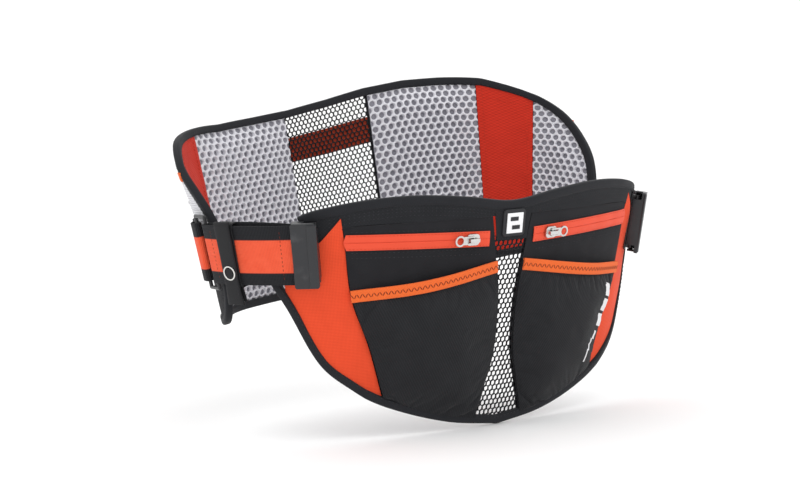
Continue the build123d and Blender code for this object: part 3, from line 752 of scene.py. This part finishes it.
# ---- Lumbar window ----
# Black net in the middle of the back, with a dark red band of webbing behind it. The whole lumbar
# band sags towards its left end and rides up at its right. Each pull table lists, by distance from the
# middle, how far the top edge and the bottom edge are raised and how far the seams are moved outwards.
LUMBAR_TOP = 86
LUMBAR_BOTTOM = -50
LUMBAR_LINE = ((0, 86), (40, 86), (80, 86), (104, 85), (125, 81.5), (143, 76), (155, 68.5), (166, 59),
               (178, 44), (186, 31), (190.5, 17), (192, 3), (190, -15), (184, -32), (173, -44),
               (160, -49.3), (150, -50), (110, -50), (60, -50), (0, -50))
TIP_INDEX = 11
BACK = GIRTH / 2
LEFT_PULL = ((0, -1, 8, 0), (31, -6.5, 7, 0), (60, -10, 6.5, 4), (85, -12.5, 5, 9), (112, -12.5, 3.5, 13),
             (150, -11, 1, 8), (195, -8, 0, 0))
RIGHT_PULL = ((0, -1, 8, 0), (30, 5.5, 10, 0), (59, 9.5, 13, 0), (85, 10.5, 16, 0), (112, 10.5, 20, 0),
              (142, 5, 25, 0), (195, 3, 14, 0))
TIP_FLARE = 7.0
WINDOW_LEVEL = -0.8


def to_back(piece, hand=1):
    """Moves a flat piece of the band's left half behind the waist; a right piece is turned over."""
    for vertex in piece.data.vertices:
        along, up, out = vertex.co
        side = 1 if hand * along >= 0 else -1
        pull = LEFT_PULL if side > 0 else RIGHT_PULL
        top, bottom, aside = [height_on([(p[0], p[i]) for p in pull], abs(along)) for i in (1, 2, 3)]
        part = (up - LUMBAR_BOTTOM) / (LUMBAR_TOP - LUMBAR_BOTTOM)
        flare = TIP_FLARE * min(1, max(0, (abs(along) - 110) / 60)) * min(1, max(0, (up - 20) / 40))
        vertex.co = (BACK + side * (abs(along) + aside), up + top * part + bottom * (1 - part),
                     out + (flare if side > 0 else 0.0))
    if hand < 0:
        piece.data.flip_normals()
    bend(piece)


net = honeycomb("window_net", NET_PITCH, NET_THREAD, (-33, -47), (33, 84))
trim_net(net, lambda x, y: abs(x) < 32.5 and -47 < y < 83)
keep_pattern(net)
for vertex in net.data.vertices:
    vertex.co.z = WINDOW_LEVEL
shape_with(net, "SOLIDIFY", thickness=NET_THICKNESS, offset=0)
to_back(net)
fit(net, "belt", black_net, ["window_mesh"])
dark_red = cloth("dark_red_webbing", (0.50, 0.060, 0.025), (0.24, 0.022, 0.010), (0.4, 0), (0, 0.9),
                 depth=0.25)
strip, _ = flat_panel("window_band", [(-58, 66), (58, 66)], [(-58, 48), (58, 48)],
                           [(-58, 66), (-58, 48)], [(58, 66), (58, 48)], 60, 10,
                           lambda s, t, x, y: 0.9)
give_thickness(strip, 1.1, 0)
to_back(strip)
fit(strip, "belt", dark_red, ["lumbar_band"])

# ---- Lumbar shell and red panels ----
# Black nylon on the outside of the lumbar band, and a red ribbed panel between the two pads inside.


def lumbar_part(start, end, clear):
    """Upper and lower edges of the lumbar band between two places, inside its binding."""
    high = LUMBAR_LINE[:TIP_INDEX + 1]
    low = LUMBAR_LINE[:TIP_INDEX - 1:-1]
    top, bottom = [], []
    for index in range(13):
        along = start + (end - start) * index / 12
        ease = clear * (1 + 0.5 * max(0, along - 130) / 50)
        top.append((along, height_on(high, along) - ease))
        bottom.append((along, height_on(low, along) + ease))
    return top, bottom


SHELL_LEVEL = -0.55
RED_LEVEL = -2.2
red_rib = cloth("red_rib", (0.62, 0.030, 0.012), (0.33, 0.012, 0.006), (0, 0.45), (0.25, 0.02),
                rough=0.65, sheen=0.05, depth=0.25, fade=0.10)
for number, (side, hand) in enumerate(SIDES):
    top, bottom = lumbar_part(32, 187.5, 4.0)
    shell, _ = flat_panel(side + "_lumbar_cloth", top, bottom, [top[0], bottom[0]],
                               [top[-1], bottom[-1]], 90, 60,
                               lambda s, t, x, y: SHELL_LEVEL + 0.25 * crease(x, y, 24, 31.0 + number))
    give_thickness(shell, 0.5, 0)
    top, bottom = lumbar_part(109, 143, 4.0)
    red, _ = flat_panel(side + "_red_cloth", top, bottom, [top[0], bottom[0]],
                             [top[-1], bottom[-1]], 30, 60,
                             lambda s, t, x, y: RED_LEVEL - 0.5 * sin(pi * s)
                             + 0.3 * crease(x, y, 13, 35.0 + number))
    give_thickness(red, 0.7, 0)
    box = [sew(f"{side}_red_row_{row}", line, 1.9, 0.8, 0.4, -2.95, height=0.4) for row, line in (
        ("top", [(112, 70), (140, 66)]), ("low", [(112, -38), (140, -34)]),
        ("near", [(112.5, 76), (112.5, -44)]), ("far", [(139.5, 68), (139.5, -40)]))]
    for piece in [shell, red] + box:
        to_back(piece, hand)
    fit(shell, "belt", black_lining, [side + "_lumbar_shell"])
    fit(red, "belt", red_rib, [side + "_red_panel"])
    for piece in box:
        fit(piece, "belt", orange_thread)

# ---- Lumbar pads ----
# Thick grey spacer mesh: a springy face knitted round rows of open holes, over a ground layer coloured dark
# grey as painted shade seen down the holes, sewn down all round so that it crowns between its seams.
PAD_EDGE = 2.3
PAD_CROWN = 4.8
HOLE_PITCH = 5.3
HOLE_DEPTH = 2.6
HOLE_LOOPS = ((2.42, 0.0), (2.16, 0.4), (2.02, 1.6), (1.95, HOLE_DEPTH + 0.2))


def spacer_face(name, low, high):
    """A flat sheet of six-sided cells, each with a round hole that has a rounded rim and a wall."""
    bpy.ops.mesh.primitive_circle_add(vertices=12, radius=HOLE_LOOPS[-1][0], fill_type="NOTHING",
                                      location=(0, 0, -HOLE_LOOPS[-1][1]))
    face = bpy.context.object
    face.name = name
    bpy.ops.object.transform_apply(location=True, rotation=True, scale=True)
    edit(face)
    bpy.ops.mesh.select_all(action="SELECT")
    for (radius, depth), (before, deeper) in zip(HOLE_LOOPS[-2::-1], HOLE_LOOPS[:0:-1]):
        grow = radius / before
        bpy.ops.mesh.extrude_edges_move(TRANSFORM_OT_translate={"value": (0, 0, deeper - depth)})
        bpy.ops.transform.resize(value=(grow, grow, 1), center_override=(0, 0, 0))
    bpy.ops.mesh.extrude_edges_move(TRANSFORM_OT_translate={"value": (0, 0, 0)})
    shape = bmesh.from_edit_mesh(face.data)
    for vertex in shape.verts:
        if vertex.select:
            corner = round(atan2(vertex.co.x, vertex.co.y) / (pi / 6)) % 2 == 0
            reach = HOLE_PITCH / sqrt(3) if corner else HOLE_PITCH / 2
            vertex.co.xy = vertex.co.xy.normalized() * reach
    bmesh.update_edit_mesh(face.data)
    leave()
    size = HOLE_PITCH / sqrt(3)
    columns = int((high[0] - low[0]) / HOLE_PITCH) + 2
    rows = int((high[1] - low[1]) / (3 * size)) + 2
    for offset, count in (((HOLE_PITCH / 2, 1.5 * size, 0), 2), ((HOLE_PITCH, 0, 0), columns),
                          ((0, 3 * size, 0), rows)):
        shape_with(face, "ARRAY", count=count, use_relative_offset=False, use_constant_offset=True,
                   constant_offset_displace=offset, use_merge_vertices=True, merge_threshold=0.02)
    face.data.transform(Matrix.Translation((low[0], low[1], 0)))
    edit(face)
    bpy.ops.mesh.select_all(action="SELECT")
    bpy.ops.mesh.normals_make_consistent(inside=False)
    leave()
    return face


def cut_round(piece, outline):
    """Cuts a flat piece to a rounded outline that runs clockwise."""
    edit(piece)
    for a, b in zip(outline, outline[1:] + outline[:1]):
        run = (Vector(b) - Vector(a)).normalized()
        bpy.ops.mesh.select_all(action="SELECT")
        bpy.ops.mesh.bisect(plane_co=(a[0], a[1], 0), plane_no=(-run.y, run.x, 0), clear_outer=True)
    leave()


grey_spacer = cloth("grey_spacer", (0.76, 0.755, 0.80), (0.62, 0.615, 0.66), (0.9, 0), (0, 0.9),
                    rough=0.8, sheen=0.05, depth=0.2, fade=0.05)
# The ground is the pad's under-layer; its dark grey is painted shade, the shadow seen down the face's holes.
ground_with_painted_shade = cloth("ground_with_painted_shade", (0.27, 0.265, 0.30), (0.17, 0.165, 0.19), (0.9, 0), (0, 0.9),
                    rough=0.9, depth=0.2, fade=0.05)
PADS = (("inner", 33.2, 108.8, 5.0), ("outer", 143.2, 187.0, 4.2))
for side, hand in SIDES:
    for part, start, end, clear in PADS:
        top, bottom = lumbar_part(start, end, clear)
        ground, places = flat_panel(f"{side}_{part}_pad", top, bottom, [top[0], bottom[0]],
                                    [top[-1], bottom[-1]], 48, 64)
        billow(ground, places, 0.01, 2.6, 0.02, PAD_CROWN, 0.01)
        crown = BVHTree.FromPolygons([v.co for v in ground.data.vertices],
                                     [tuple(f.vertices) for f in ground.data.polygons])
        face = spacer_face("pad_face", (start, LUMBAR_BOTTOM), (end, LUMBAR_TOP))
        cut_round(face, top + bottom[::-1])
        keep_pattern(face)
        for vertex in ground.data.vertices:
            level = vertex.co.z
            vertex.co.z = -(PAD_EDGE + level) + HOLE_DEPTH * (0.3 + 0.7 * level / PAD_CROWN)
        ground.data.flip_normals()
        for vertex in face.data.vertices:
            hit = crown.ray_cast(Vector((vertex.co.x, vertex.co.y, 50)), Vector((0, 0, -1)))[0]
            level = hit.z if hit else 0.0
            vertex.co.z = -(PAD_EDGE + level) - vertex.co.z * (0.3 + 0.7 * level / PAD_CROWN)
        face.data.flip_normals()
        give_thickness(ground, 0.5, -1)
        # The ground gets the dark grey painted shade; the face keeps the light grey.
        ground.data.materials.append(ground_with_painted_shade)
        face.data.materials.append(grey_spacer)
        bpy.ops.object.select_all(action="DESELECT")
        face.select_set(True)
        ground.select_set(True)
        bpy.context.view_layer.objects.active = ground
        bpy.ops.object.join()
        to_back(ground, hand)
        fit(ground, "belt", grey_spacer, [f"{side}_{part}_pad"])

# ---- Lumbar binding ----
# Folded black grosgrain tape all round the lumbar band, sewn with one row of stitches on each face.
TAPE_INSET = 2.6
STITCH_INSET = 4.6
half_loop = [on_line(LUMBAR_LINE, i / 60) for i in range(61)]
loop = half_loop + [Vector((-p.x, p.y)) for p in half_loop[-2:0:-1]] + [half_loop[0]]
inner_loop = beside(loop, -TAPE_INSET)
inner_loop[-1] = inner_loop[0].copy()
binding = sweep("lumbar_edge_tape", inner_loop, rounded(2.8, -4.2, 1.0, 0.5), 420, closed=True)
rows = [sew("lumbar_edge_stitches_" + face, beside(loop, -STITCH_INSET), 1.9, 0.9, 0.35, level, height=0.3)
        for face, level in (("in", -4.1), ("out", 0.95))]
for piece in [binding] + rows:
    to_back(piece)
fit(binding, "belt", black_tape, ["lumbar_binding"])
for piece in rows:
    fit(piece, "belt", black_thread)

# ---- Side pockets ----
# Fine white stretch net on the outside of each end of the band, hemmed with orange elastic, with a
# small white pull tab.
white_net = cloth("white_net", (0.86, 0.86, 0.88), (0.60, 0.60, 0.64), (1.1, 0.6), depth=0.1, fade=0.03)
white_tape = cloth("white_tape", (0.88, 0.88, 0.88), (0.65, 0.65, 0.66), (1.2, 0), (0, 1.2), depth=0.1,
                   fade=0.03)
POCKET_LOW = 20.5
POCKET_HIGH = 50.5
SIDE_HEM_HALF = 3.2
TIP_SIDE = tuple((p[0] - 5.3, p[1]) for p in LUMBAR_LINE[5:TIP_INDEX + 1])
for number, (side, hand) in enumerate(SIDES):
    far_high = height_on([(p[1], p[0]) for p in TIP_SIDE[::-1]], POCKET_HIGH)
    far_low = height_on([(p[1], p[0]) for p in TIP_SIDE[::-1]], POCKET_LOW)
    pocket = honeycomb(side + "_white_net", 1.9, 0.8, (118, POCKET_LOW), (190, POCKET_HIGH))
    trim_net(pocket, lambda x, y: x < far_low + (far_high - far_low) * (y - POCKET_LOW) / 30 + 1.5
             and y < POCKET_HIGH)
    keep_pattern(pocket)
    for vertex in pocket.data.vertices:
        vertex.co.z = 0.65 + 0.5 * sin(pi * (vertex.co.x - 118) / 60) * (0.5 + crease(
            vertex.co.x, vertex.co.y * 0.3, 7, 41.0 + number))
    shape_with(pocket, "SOLIDIFY", thickness=0.4, offset=0)
    elastic = sweep(side + "_side_elastic", [(112, 53.6), (140, 53.6), (far_high + 1.0, 53.6)],
                    rounded(SIDE_HEM_HALF, 0.3, 1.7, 0.4), 60)
    tab = sweep(side + "_tab_loop", [(150, 26.5), (150, 35.5)], rounded(2.4, 0.9, 1.5, 0.35), 10)
    tab_knot = sweep(side + "_tab_fold", [(147.5, 35.2), (152.5, 35.2)], rounded(1.1, 0.8, 2.0, 0.8), 8)
    for piece in (pocket, elastic, tab, tab_knot):
        to_back(piece, hand)
    fit(pocket, "belt", white_net, [side + "_side_pocket"])
    fit(elastic, "belt", orange_elastic, [side + "_side_hem"])
    fit(tab, "belt", white_tape, [side + "_pull_tab"])
    fit(tab_knot, "belt", white_tape)

# ---- Side straps ----
# Polyester webbing 36 mm wide, black with an orange stripe, folded double round the hook's bar in
# front and the wire ring behind.
STRAP_HALF = 18.0
RING_FRONT = 201.0
RING_BACK = 213.0
BAR_PLACE = 137.7
WIRE_LEVEL = 5.5
LOOP_RADIUS = 1.9
WEB_THICKNESS = 1.15
STRIPE_LOW = -10.5
STRIPE_HIGH = 9.5


def webbing_material(name):
    """Webbing: ribs across the strap with painted shade in their troughs, and a stripe along it that is set
    by its height on the pattern.
    """
    material, tree, shader = start_material(name, 0.7, 0.04, shine=0.12)
    spot = add_node(tree, "UVMap", uv_map="pattern").outputs["UV"]
    parts = add_node(tree, "SeparateXYZ", {"Vector": spot})
    above = add_node(tree, "MapRange", {"Value": parts.outputs["Y"], "From Min": STRIPE_LOW - 0.3,
                                        "From Max": STRIPE_LOW + 0.3})
    below = add_node(tree, "MapRange", {"Value": parts.outputs["Y"], "From Min": STRIPE_HIGH + 0.3,
                                        "From Max": STRIPE_HIGH - 0.3})
    stripe = add_node(tree, "Math", {0: above.outputs[0], 1: below.outputs[0]}, operation="MULTIPLY")
    rib = wave(tree, spot, 1.1, 0.0)
    rib = add_node(tree, "MapRange", {"Value": rib, "From Min": -1.0, "From Max": 1.0}).outputs[0]
    cords = wave(tree, spot, 0.0, 0.6)
    patches = add_node(tree, "TexNoise", {"Vector": spot, "Scale": 0.15, "Detail": 3.0})
    fuzz = add_node(tree, "TexNoise", {"Vector": spot, "Scale": 2.0, "Detail": 3.0})
    # In both the orange and the black, the rib's troughs get the darker colour: painted shade between the
    # ribs.
    orange = add_node(tree, "Mix", {"Factor": rib, "A": (0.66, 0.055, 0.022, 1),
                                    "B": (0.86, 0.105, 0.040, 1)}, data_type="RGBA")
    faded = add_node(tree, "Mix", {"Factor": patches.outputs["Fac"], "A": orange.outputs["Result"],
                                   "B": (0.88, 0.13, 0.06, 1)}, data_type="RGBA")
    black = add_node(tree, "Mix", {"Factor": rib, "A": (0.010, 0.010, 0.012, 1),
                                   "B": (0.020, 0.021, 0.024, 1)}, data_type="RGBA")
    dyed = add_node(tree, "Mix", {"Factor": stripe.outputs[0], "A": black.outputs["Result"],
                                  "B": faded.outputs["Result"]}, data_type="RGBA")
    tree.links.new(dyed.outputs["Result"], shader.inputs["Base Color"])
    weave = add_node(tree, "Math", {0: cords, 1: 0.3, 2: rib}, operation="MULTIPLY_ADD")
    weave = add_node(tree, "Math", {0: fuzz.outputs["Fac"], 1: 0.4, 2: weave.outputs[0]},
                     operation="MULTIPLY_ADD")
    bump = add_node(tree, "Bump", {"Height": weave.outputs[0], "Strength": 0.7, "Distance": 0.25 * MM})
    tree.links.new(bump.outputs["Normal"], shader.inputs["Normal"])
    return material


def ribbon(name, route, half, steps, closed, thickness, lean=None):
    """A ribbon that stands on edge: its route is along and out, and its width runs up and down."""
    bpy.ops.mesh.primitive_grid_add(x_subdivisions=steps, y_subdivisions=10, size=1,
                                    location=(0.5, 0.5, 0))
    piece = bpy.context.object
    piece.name = name
    bpy.ops.object.transform_apply(location=True, rotation=True, scale=True)
    total = sum((Vector(b) - Vector(a)).length for a, b in zip(route, route[1:]))
    layer = piece.data.uv_layers.get("pattern") or piece.data.uv_layers.new(name="pattern")
    marks = []
    for vertex in piece.data.vertices:
        s, up = vertex.co.x, (2 * vertex.co.y - 1) * half
        spot = on_line(route, s)
        marks.append((s * total, up))
        vertex.co = (spot.x, up + (lean(spot.x, spot.y) if lean else 0.0), spot.y)
    for loop in piece.data.loops:
        layer.data[loop.index].uv = marks[loop.vertex_index]
    if closed:
        edit(piece)
        bpy.ops.mesh.select_all(action="SELECT")
        bpy.ops.mesh.remove_doubles(threshold=0.01)
        bpy.ops.mesh.normals_make_consistent(inside=False)
        leave()
    give_thickness(piece, thickness, 0)
    shape_with(piece, "BEVEL", width=0.25, segments=2, limit_method="ANGLE", angle_limit=radians(60))
    return piece


def half_turn(along, out, radius, front, count=8):
    """Points of a webbing loop round a wire, from its outer side to its inner side."""
    side = 1 if front else -1
    return [(along + side * radius * sin(pi * i / count), out + radius * cos(pi * i / count))
            for i in range(count + 1)]


webbing = webbing_material("webbing")
outer_level = WIRE_LEVEL + LOOP_RADIUS
inner_level = WIRE_LEVEL - LOOP_RADIUS
for side, hand in SIDES:
    back_turn = half_turn(-RING_FRONT, WIRE_LEVEL, LOOP_RADIUS, False)
    front_turn = half_turn(-BAR_PLACE, WIRE_LEVEL, LOOP_RADIUS, True)
    outer_run = [(-BAR_PLACE - 63.3 * i / 10, outer_level + 0.35 * sin(pi * i / 10)) for i in range(1, 10)]
    inner_run = [(-RING_FRONT + 63.3 * i / 10, inner_level - 0.5 * sin(pi * i / 10)) for i in range(1, 10)]
    route = [(-BAR_PLACE, outer_level)] + outer_run + back_turn + inner_run + front_turn[::-1]
    strap = ribbon(side + "_webbing", route, STRAP_HALF, 150, True, WEB_THICKNESS,
                   lambda x, out: (1.5 if out < WIRE_LEVEL else 0.0)
                   * sin(pi * min(1, max(0, (-x - BAR_PLACE) / 63.3))))
    tail_end = -RING_BACK - 45
    over = half_turn(-RING_BACK, WIRE_LEVEL, LOOP_RADIUS, True)
    anchor_route = [(tail_end, 1.8), (-240, 1.8), (-226, 1.9), (-222.5, 3.0), (-219, inner_level)] \
        + over[::-1] + [(-219, outer_level - 0.2), (-223, 5.6), (-226.5, 3.4), (-232, 3.1), (-249, 3.05)]
    anchor = ribbon(side + "_anchor_webbing", anchor_route, STRAP_HALF, 110, False, WEB_THICKNESS)
    box = [sew(f"{side}_anchor_row_{row}", line, 1.8, 0.7, 0.45, 3.65, height=0.4) for row, line in (
        ("near", [(-229, -14), (-229, 14)]), ("far", [(-246.5, -14), (-246.5, 14)]),
        ("cross", [(-229, -14), (-246.5, 14)]), ("slant", [(-229, 14), (-246.5, -14)]))]
    bar_box = [sew(f"{side}_webbing_row_{row}", [(x, -15), (x, 15)], 1.8, 0.7, 0.45,
                   outer_level + 0.65, height=0.4) for row, x in (("front", -146.0), ("back", -194.0))]
    for piece in [strap, anchor] + box + bar_box:
        if hand < 0:
            turn_over(piece)
        bend(piece)
    fit(strap, side + "_strap_arm", webbing, [side + "_strap"])
    fit(anchor, "belt", webbing, [side + "_ring_anchor"])
    for piece in box:
        fit(piece, "belt", dark_thread)
    for piece in bar_box:
        fit(piece, side + "_strap_arm", dark_thread)

# ---- Hard parts: rings, hooks and catches ----
# The ring is painted wire; the hook and its catch are moulded in grey and black plastic with softened
# edges. Each is a softened copy of its solid.


def moulded(name, colour, rough, metal=0.0, coat=0.0, grain=900.0, wear=(0.2, 0.2, 0.21)):
    """Moulded plastic or metal with a fine grain, small scuffs and paler worn spots."""
    material, tree, shader = start_material(name, rough, 0.0, metal, coat, 0.35)
    spot = add_node(tree, "TexCoord").outputs["Object"]
    fine = add_node(tree, "TexNoise", {"Vector": spot, "Scale": grain, "Detail": 2.0})
    broad = add_node(tree, "TexNoise", {"Vector": spot, "Scale": 90.0, "Detail": 4.0})
    scuffed = add_node(tree, "MapRange", {"Value": broad.outputs["Fac"], "From Min": 0.58, "From Max": 0.75,
                                          "To Max": 0.35})
    base = add_node(tree, "Mix", {"Factor": scuffed.outputs[0], "A": (*colour, 1), "B": (*wear, 1)},
                    data_type="RGBA")
    tree.links.new(base.outputs["Result"], shader.inputs["Base Color"])
    shine = add_node(tree, "MapRange", {"Value": broad.outputs["Fac"], "To Min": rough - 0.08,
                                        "To Max": rough + 0.12})
    tree.links.new(shine.outputs[0], shader.inputs["Roughness"])
    bump = add_node(tree, "Bump", {"Height": fine.outputs["Fac"], "Strength": 0.35, "Distance": 0.05 * MM})
    tree.links.new(bump.outputs["Normal"], shader.inputs["Normal"])
    return material


def softened(node, name, width):
    """A copy of a hard solid with its sharp edges rounded."""
    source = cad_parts[node]
    piece = bpy.data.objects.new(name, source.data.copy())
    piece.data.materials.clear()
    bpy.context.scene.collection.objects.link(piece)
    edit(piece)
    bpy.ops.mesh.select_all(action="SELECT")
    bpy.ops.mesh.remove_doubles(threshold=0.00001)
    bpy.ops.mesh.dissolve_limited(angle_limit=radians(2))
    leave()
    shape_with(piece, "BEVEL", width=width * MM, segments=3, limit_method="ANGLE",
               angle_limit=radians(35), harden_normals=False)
    bpy.ops.object.shade_smooth_by_angle(angle=radians(40))
    return piece


hook_plastic = moulded("hook_plastic", (0.020, 0.021, 0.024), 0.38, coat=0.15, wear=(0.09, 0.09, 0.095))
ring_paint = moulded("ring_paint", (0.016, 0.016, 0.018), 0.35, coat=0.2, wear=(0.04, 0.04, 0.042))
HOOK_PLACE = 132.5
HOOK_TOP = 10.5
for side, hand in SIDES:
    hook = softened(side + "_hook", side + "_hook_body", 0.45)
    catch = softened(side + "_hook_catch", side + "_catch_body", 0.25)
    ridge = sweep(side + "_hook_ridge", [(-HOOK_PLACE + 4.3, -18.6), (-HOOK_PLACE + 4.3, 18.6)],
                  rounded(2.6, HOOK_TOP - 0.6, HOOK_TOP + 1.0, 0.45), 12)
    groove = sweep(side + "_hook_rim", [(-HOOK_PLACE - 6.2, -18.2), (-HOOK_PLACE - 6.2, 18.2)],
                   rounded(0.6, HOOK_TOP - 0.4, HOOK_TOP + 0.4, 0.8), 12)
    for piece in (ridge, groove):
        if hand < 0:
            turn_over(piece)
        bend(piece)
        fit(piece, side + "_strap_arm", hook_plastic)
    fit(hook, side + "_strap_arm", hook_plastic, [side + "_hook"])
    fit(catch, "belt", ring_paint, [side + "_hook_catch"])
    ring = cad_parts[side + "_ring"]
    ring.data.materials.clear()
    ring.data.materials.append(ring_paint)

# ---- Strap keepers ----
# A sleeve of smooth black coated tape round both layers of webbing, and a longer strip folded over its
# top that snaps shut in front with a plated press stud.
KEEPER_PLACE = 180.0
SLEEVE_HALF = 5.6
FLAP_HALF = 5.4
SNAP_HEIGHT = -10.0
SNAP_LEVEL = 11.7


def upright(name, route, half, steps, thickness, along, flare=None):
    """A narrow strip whose route runs up and out at one place along the belt."""
    bpy.ops.mesh.primitive_grid_add(x_subdivisions=6, y_subdivisions=steps, size=1,
                                    location=(0.5, 0.5, 0))
    piece = bpy.context.object
    piece.name = name
    bpy.ops.object.transform_apply(location=True, rotation=True, scale=True)
    total = sum((Vector(b) - Vector(a)).length for a, b in zip(route, route[1:]))
    layer = piece.data.uv_layers.get("pattern") or piece.data.uv_layers.new(name="pattern")
    marks = []
    for vertex in piece.data.vertices:
        s, aside = vertex.co.y, 2 * vertex.co.x - 1
        spot = on_line(route, s)
        reach = half + (flare(spot.x) if flare else 0.0)
        marks.append((aside * half, s * total))
        vertex.co = (along + aside * reach, spot.x, spot.y)
    for loop in piece.data.loops:
        layer.data[loop.index].uv = marks[loop.vertex_index]
    edit(piece)
    bpy.ops.mesh.select_all(action="SELECT")
    bpy.ops.mesh.remove_doubles(threshold=0.01)
    bpy.ops.mesh.normals_make_consistent(inside=False)
    leave()
    give_thickness(piece, thickness, 0)
    shape_with(piece, "BEVEL", width=0.3, segments=2, limit_method="ANGLE", angle_limit=radians(60))
    return piece


coated_tape = cloth("coated_tape", (0.014, 0.014, 0.016), (0.010, 0.010, 0.011), (0.8, 0.0), (0, 0.8),
                    rough=0.5, sheen=0.05, depth=0.06, fade=0.15)
snap_metal = moulded("snap_metal", (0.72, 0.71, 0.68), 0.22, metal=1.0, grain=2500.0, wear=(0.5, 0.5, 0.48))
for side, hand in SIDES:
    loop_route = [(0, 9.1), (10, 9.1), (17, 9.0), (19.1, 7.6), (19.3, 5.3), (18.9, 3.0), (16, 2.1), (8, 2.0),
                  (-8, 2.0), (-16, 2.1), (-18.9, 3.0), (-19.3, 5.3), (-19.1, 7.6), (-17, 9.0), (-10, 9.1),
                  (0, 9.1)]
    sleeve = upright(side + "_keeper_sleeve_tape", loop_route, SLEEVE_HALF, 120, 0.9, -KEEPER_PLACE)
    tail = upright(side + "_keeper_tail", [(-17, 7.9), (-22, 7.8), (-28.5, 7.4)], SLEEVE_HALF, 20,
                   0.9, -KEEPER_PLACE, lambda up: max(0.0, (-up - 20) / 9) * 0.8)
    flap = upright(side + "_flap_tape",
                   [(20.3, 9.6), (20.7, 10.4), (19.6, 11.1), (17, 11.2), (8, 11.0), (-6, 10.9), (-16, 11.0),
                    (-24, 10.9), (-29.7, 10.6)], FLAP_HALF, 70, 1.0, -KEEPER_PLACE,
                   lambda up: max(0.0, (-up - 18) / 12) ** 1.5 * 1.2)
    rows = [sew(f"{side}_flap_row_{row}", [(-KEEPER_PLACE + x, -24), (-KEEPER_PLACE + x, 15)], 1.5, 0.9, 0.3,
                11.45, height=0.25) for row, x in (("front", 4.3), ("back", -4.3))]
    for piece in [sleeve, tail, flap] + rows:
        if hand < 0:
            turn_over(piece)
        bend(piece)
    fit(sleeve, side + "_keeper_sleeve", coated_tape, [side + "_keeper"])
    fit(tail, side + "_keeper_sleeve", coated_tape)
    fit(flap, side + "_flap", coated_tape, [side + "_keeper_flap"])
    for piece in rows:
        fit(piece, side + "_flap", black_thread)
    bpy.ops.mesh.primitive_torus_add(major_radius=4.0, minor_radius=0.5, major_segments=40,
                                     minor_segments=10, location=(-KEEPER_PLACE, SNAP_HEIGHT, SNAP_LEVEL))
    snap = bpy.context.object
    snap.name = side + "_snap_rim"
    bpy.ops.object.transform_apply(location=True, rotation=True, scale=True)
    snap_dish = sweep(side + "_snap_dish",
                      [(-KEEPER_PLACE - 2.4, SNAP_HEIGHT), (-KEEPER_PLACE + 2.4, SNAP_HEIGHT)],
                      rounded(3.4, 11.3, 11.75, 0.7), 10)
    for piece in (snap, snap_dish):
        if hand < 0:
            turn_over(piece)
        bend(piece)
    fit(snap, side + "_flap", snap_metal, [side + "_snap_cap"])
    fit(snap_dish, side + "_flap", coated_tape)
    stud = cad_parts[side + "_snap_stud"]
    stud.data.materials.clear()
    stud.data.materials.append(snap_metal)

# ---- Zip sliders and pullers ----
# Bright plated die castings, with softened edges and a ring for the finger.
zip_metal = moulded("zip_metal", (0.62, 0.61, 0.60), 0.25, metal=1.0, grain=2200.0, wear=(0.35, 0.34, 0.33))
for side, hand in SIDES:
    slider = softened(side + "_zip_slider", side + "_slider_casting", 0.18)
    puller = softened(side + "_zip_puller", side + "_puller_casting", 0.14)
    fit(slider, side + "_slider", zip_metal, [side + "_zip_slider"])
    fit(puller, side + "_puller", zip_metal, [side + "_zip_puller"])

# ---- Badge ----
# A soft black rubber square on the centre patch, with a raised white frame round two plain bars.
badge_rubber = moulded("badge_rubber", (0.020, 0.020, 0.023), 0.55, grain=600.0)
badge_white = moulded("badge_white", (0.86, 0.86, 0.87), 0.5, grain=600.0, wear=(0.7, 0.7, 0.7))
base = softened("badge_base", "badge_square", 0.5)
fit(base, "belt", badge_rubber, ["badge_base"])
BADGE_HEIGHT = 10.0
BADGE_FACE = 4.35
plate = sweep("badge_plate", [(-5.9, BADGE_HEIGHT), (5.9, BADGE_HEIGHT)],
              rounded(6.2, BADGE_FACE - 0.3, BADGE_FACE + 0.15, 0.2), 8)
bend(plate)
fit(plate, "belt", badge_white, ["badge_mark"])
for number, (start, end, up) in enumerate(((-3.6, 2.2, 12.6), (-2.2, 3.6, 7.4))):
    bar = sweep(f"badge_bar_{number}", [(start, up), (end, up)],
                rounded(1.25, BADGE_FACE, BADGE_FACE + 0.45, 0.4), 6)
    bend(bar)
    fit(bar, "belt", badge_rubber)
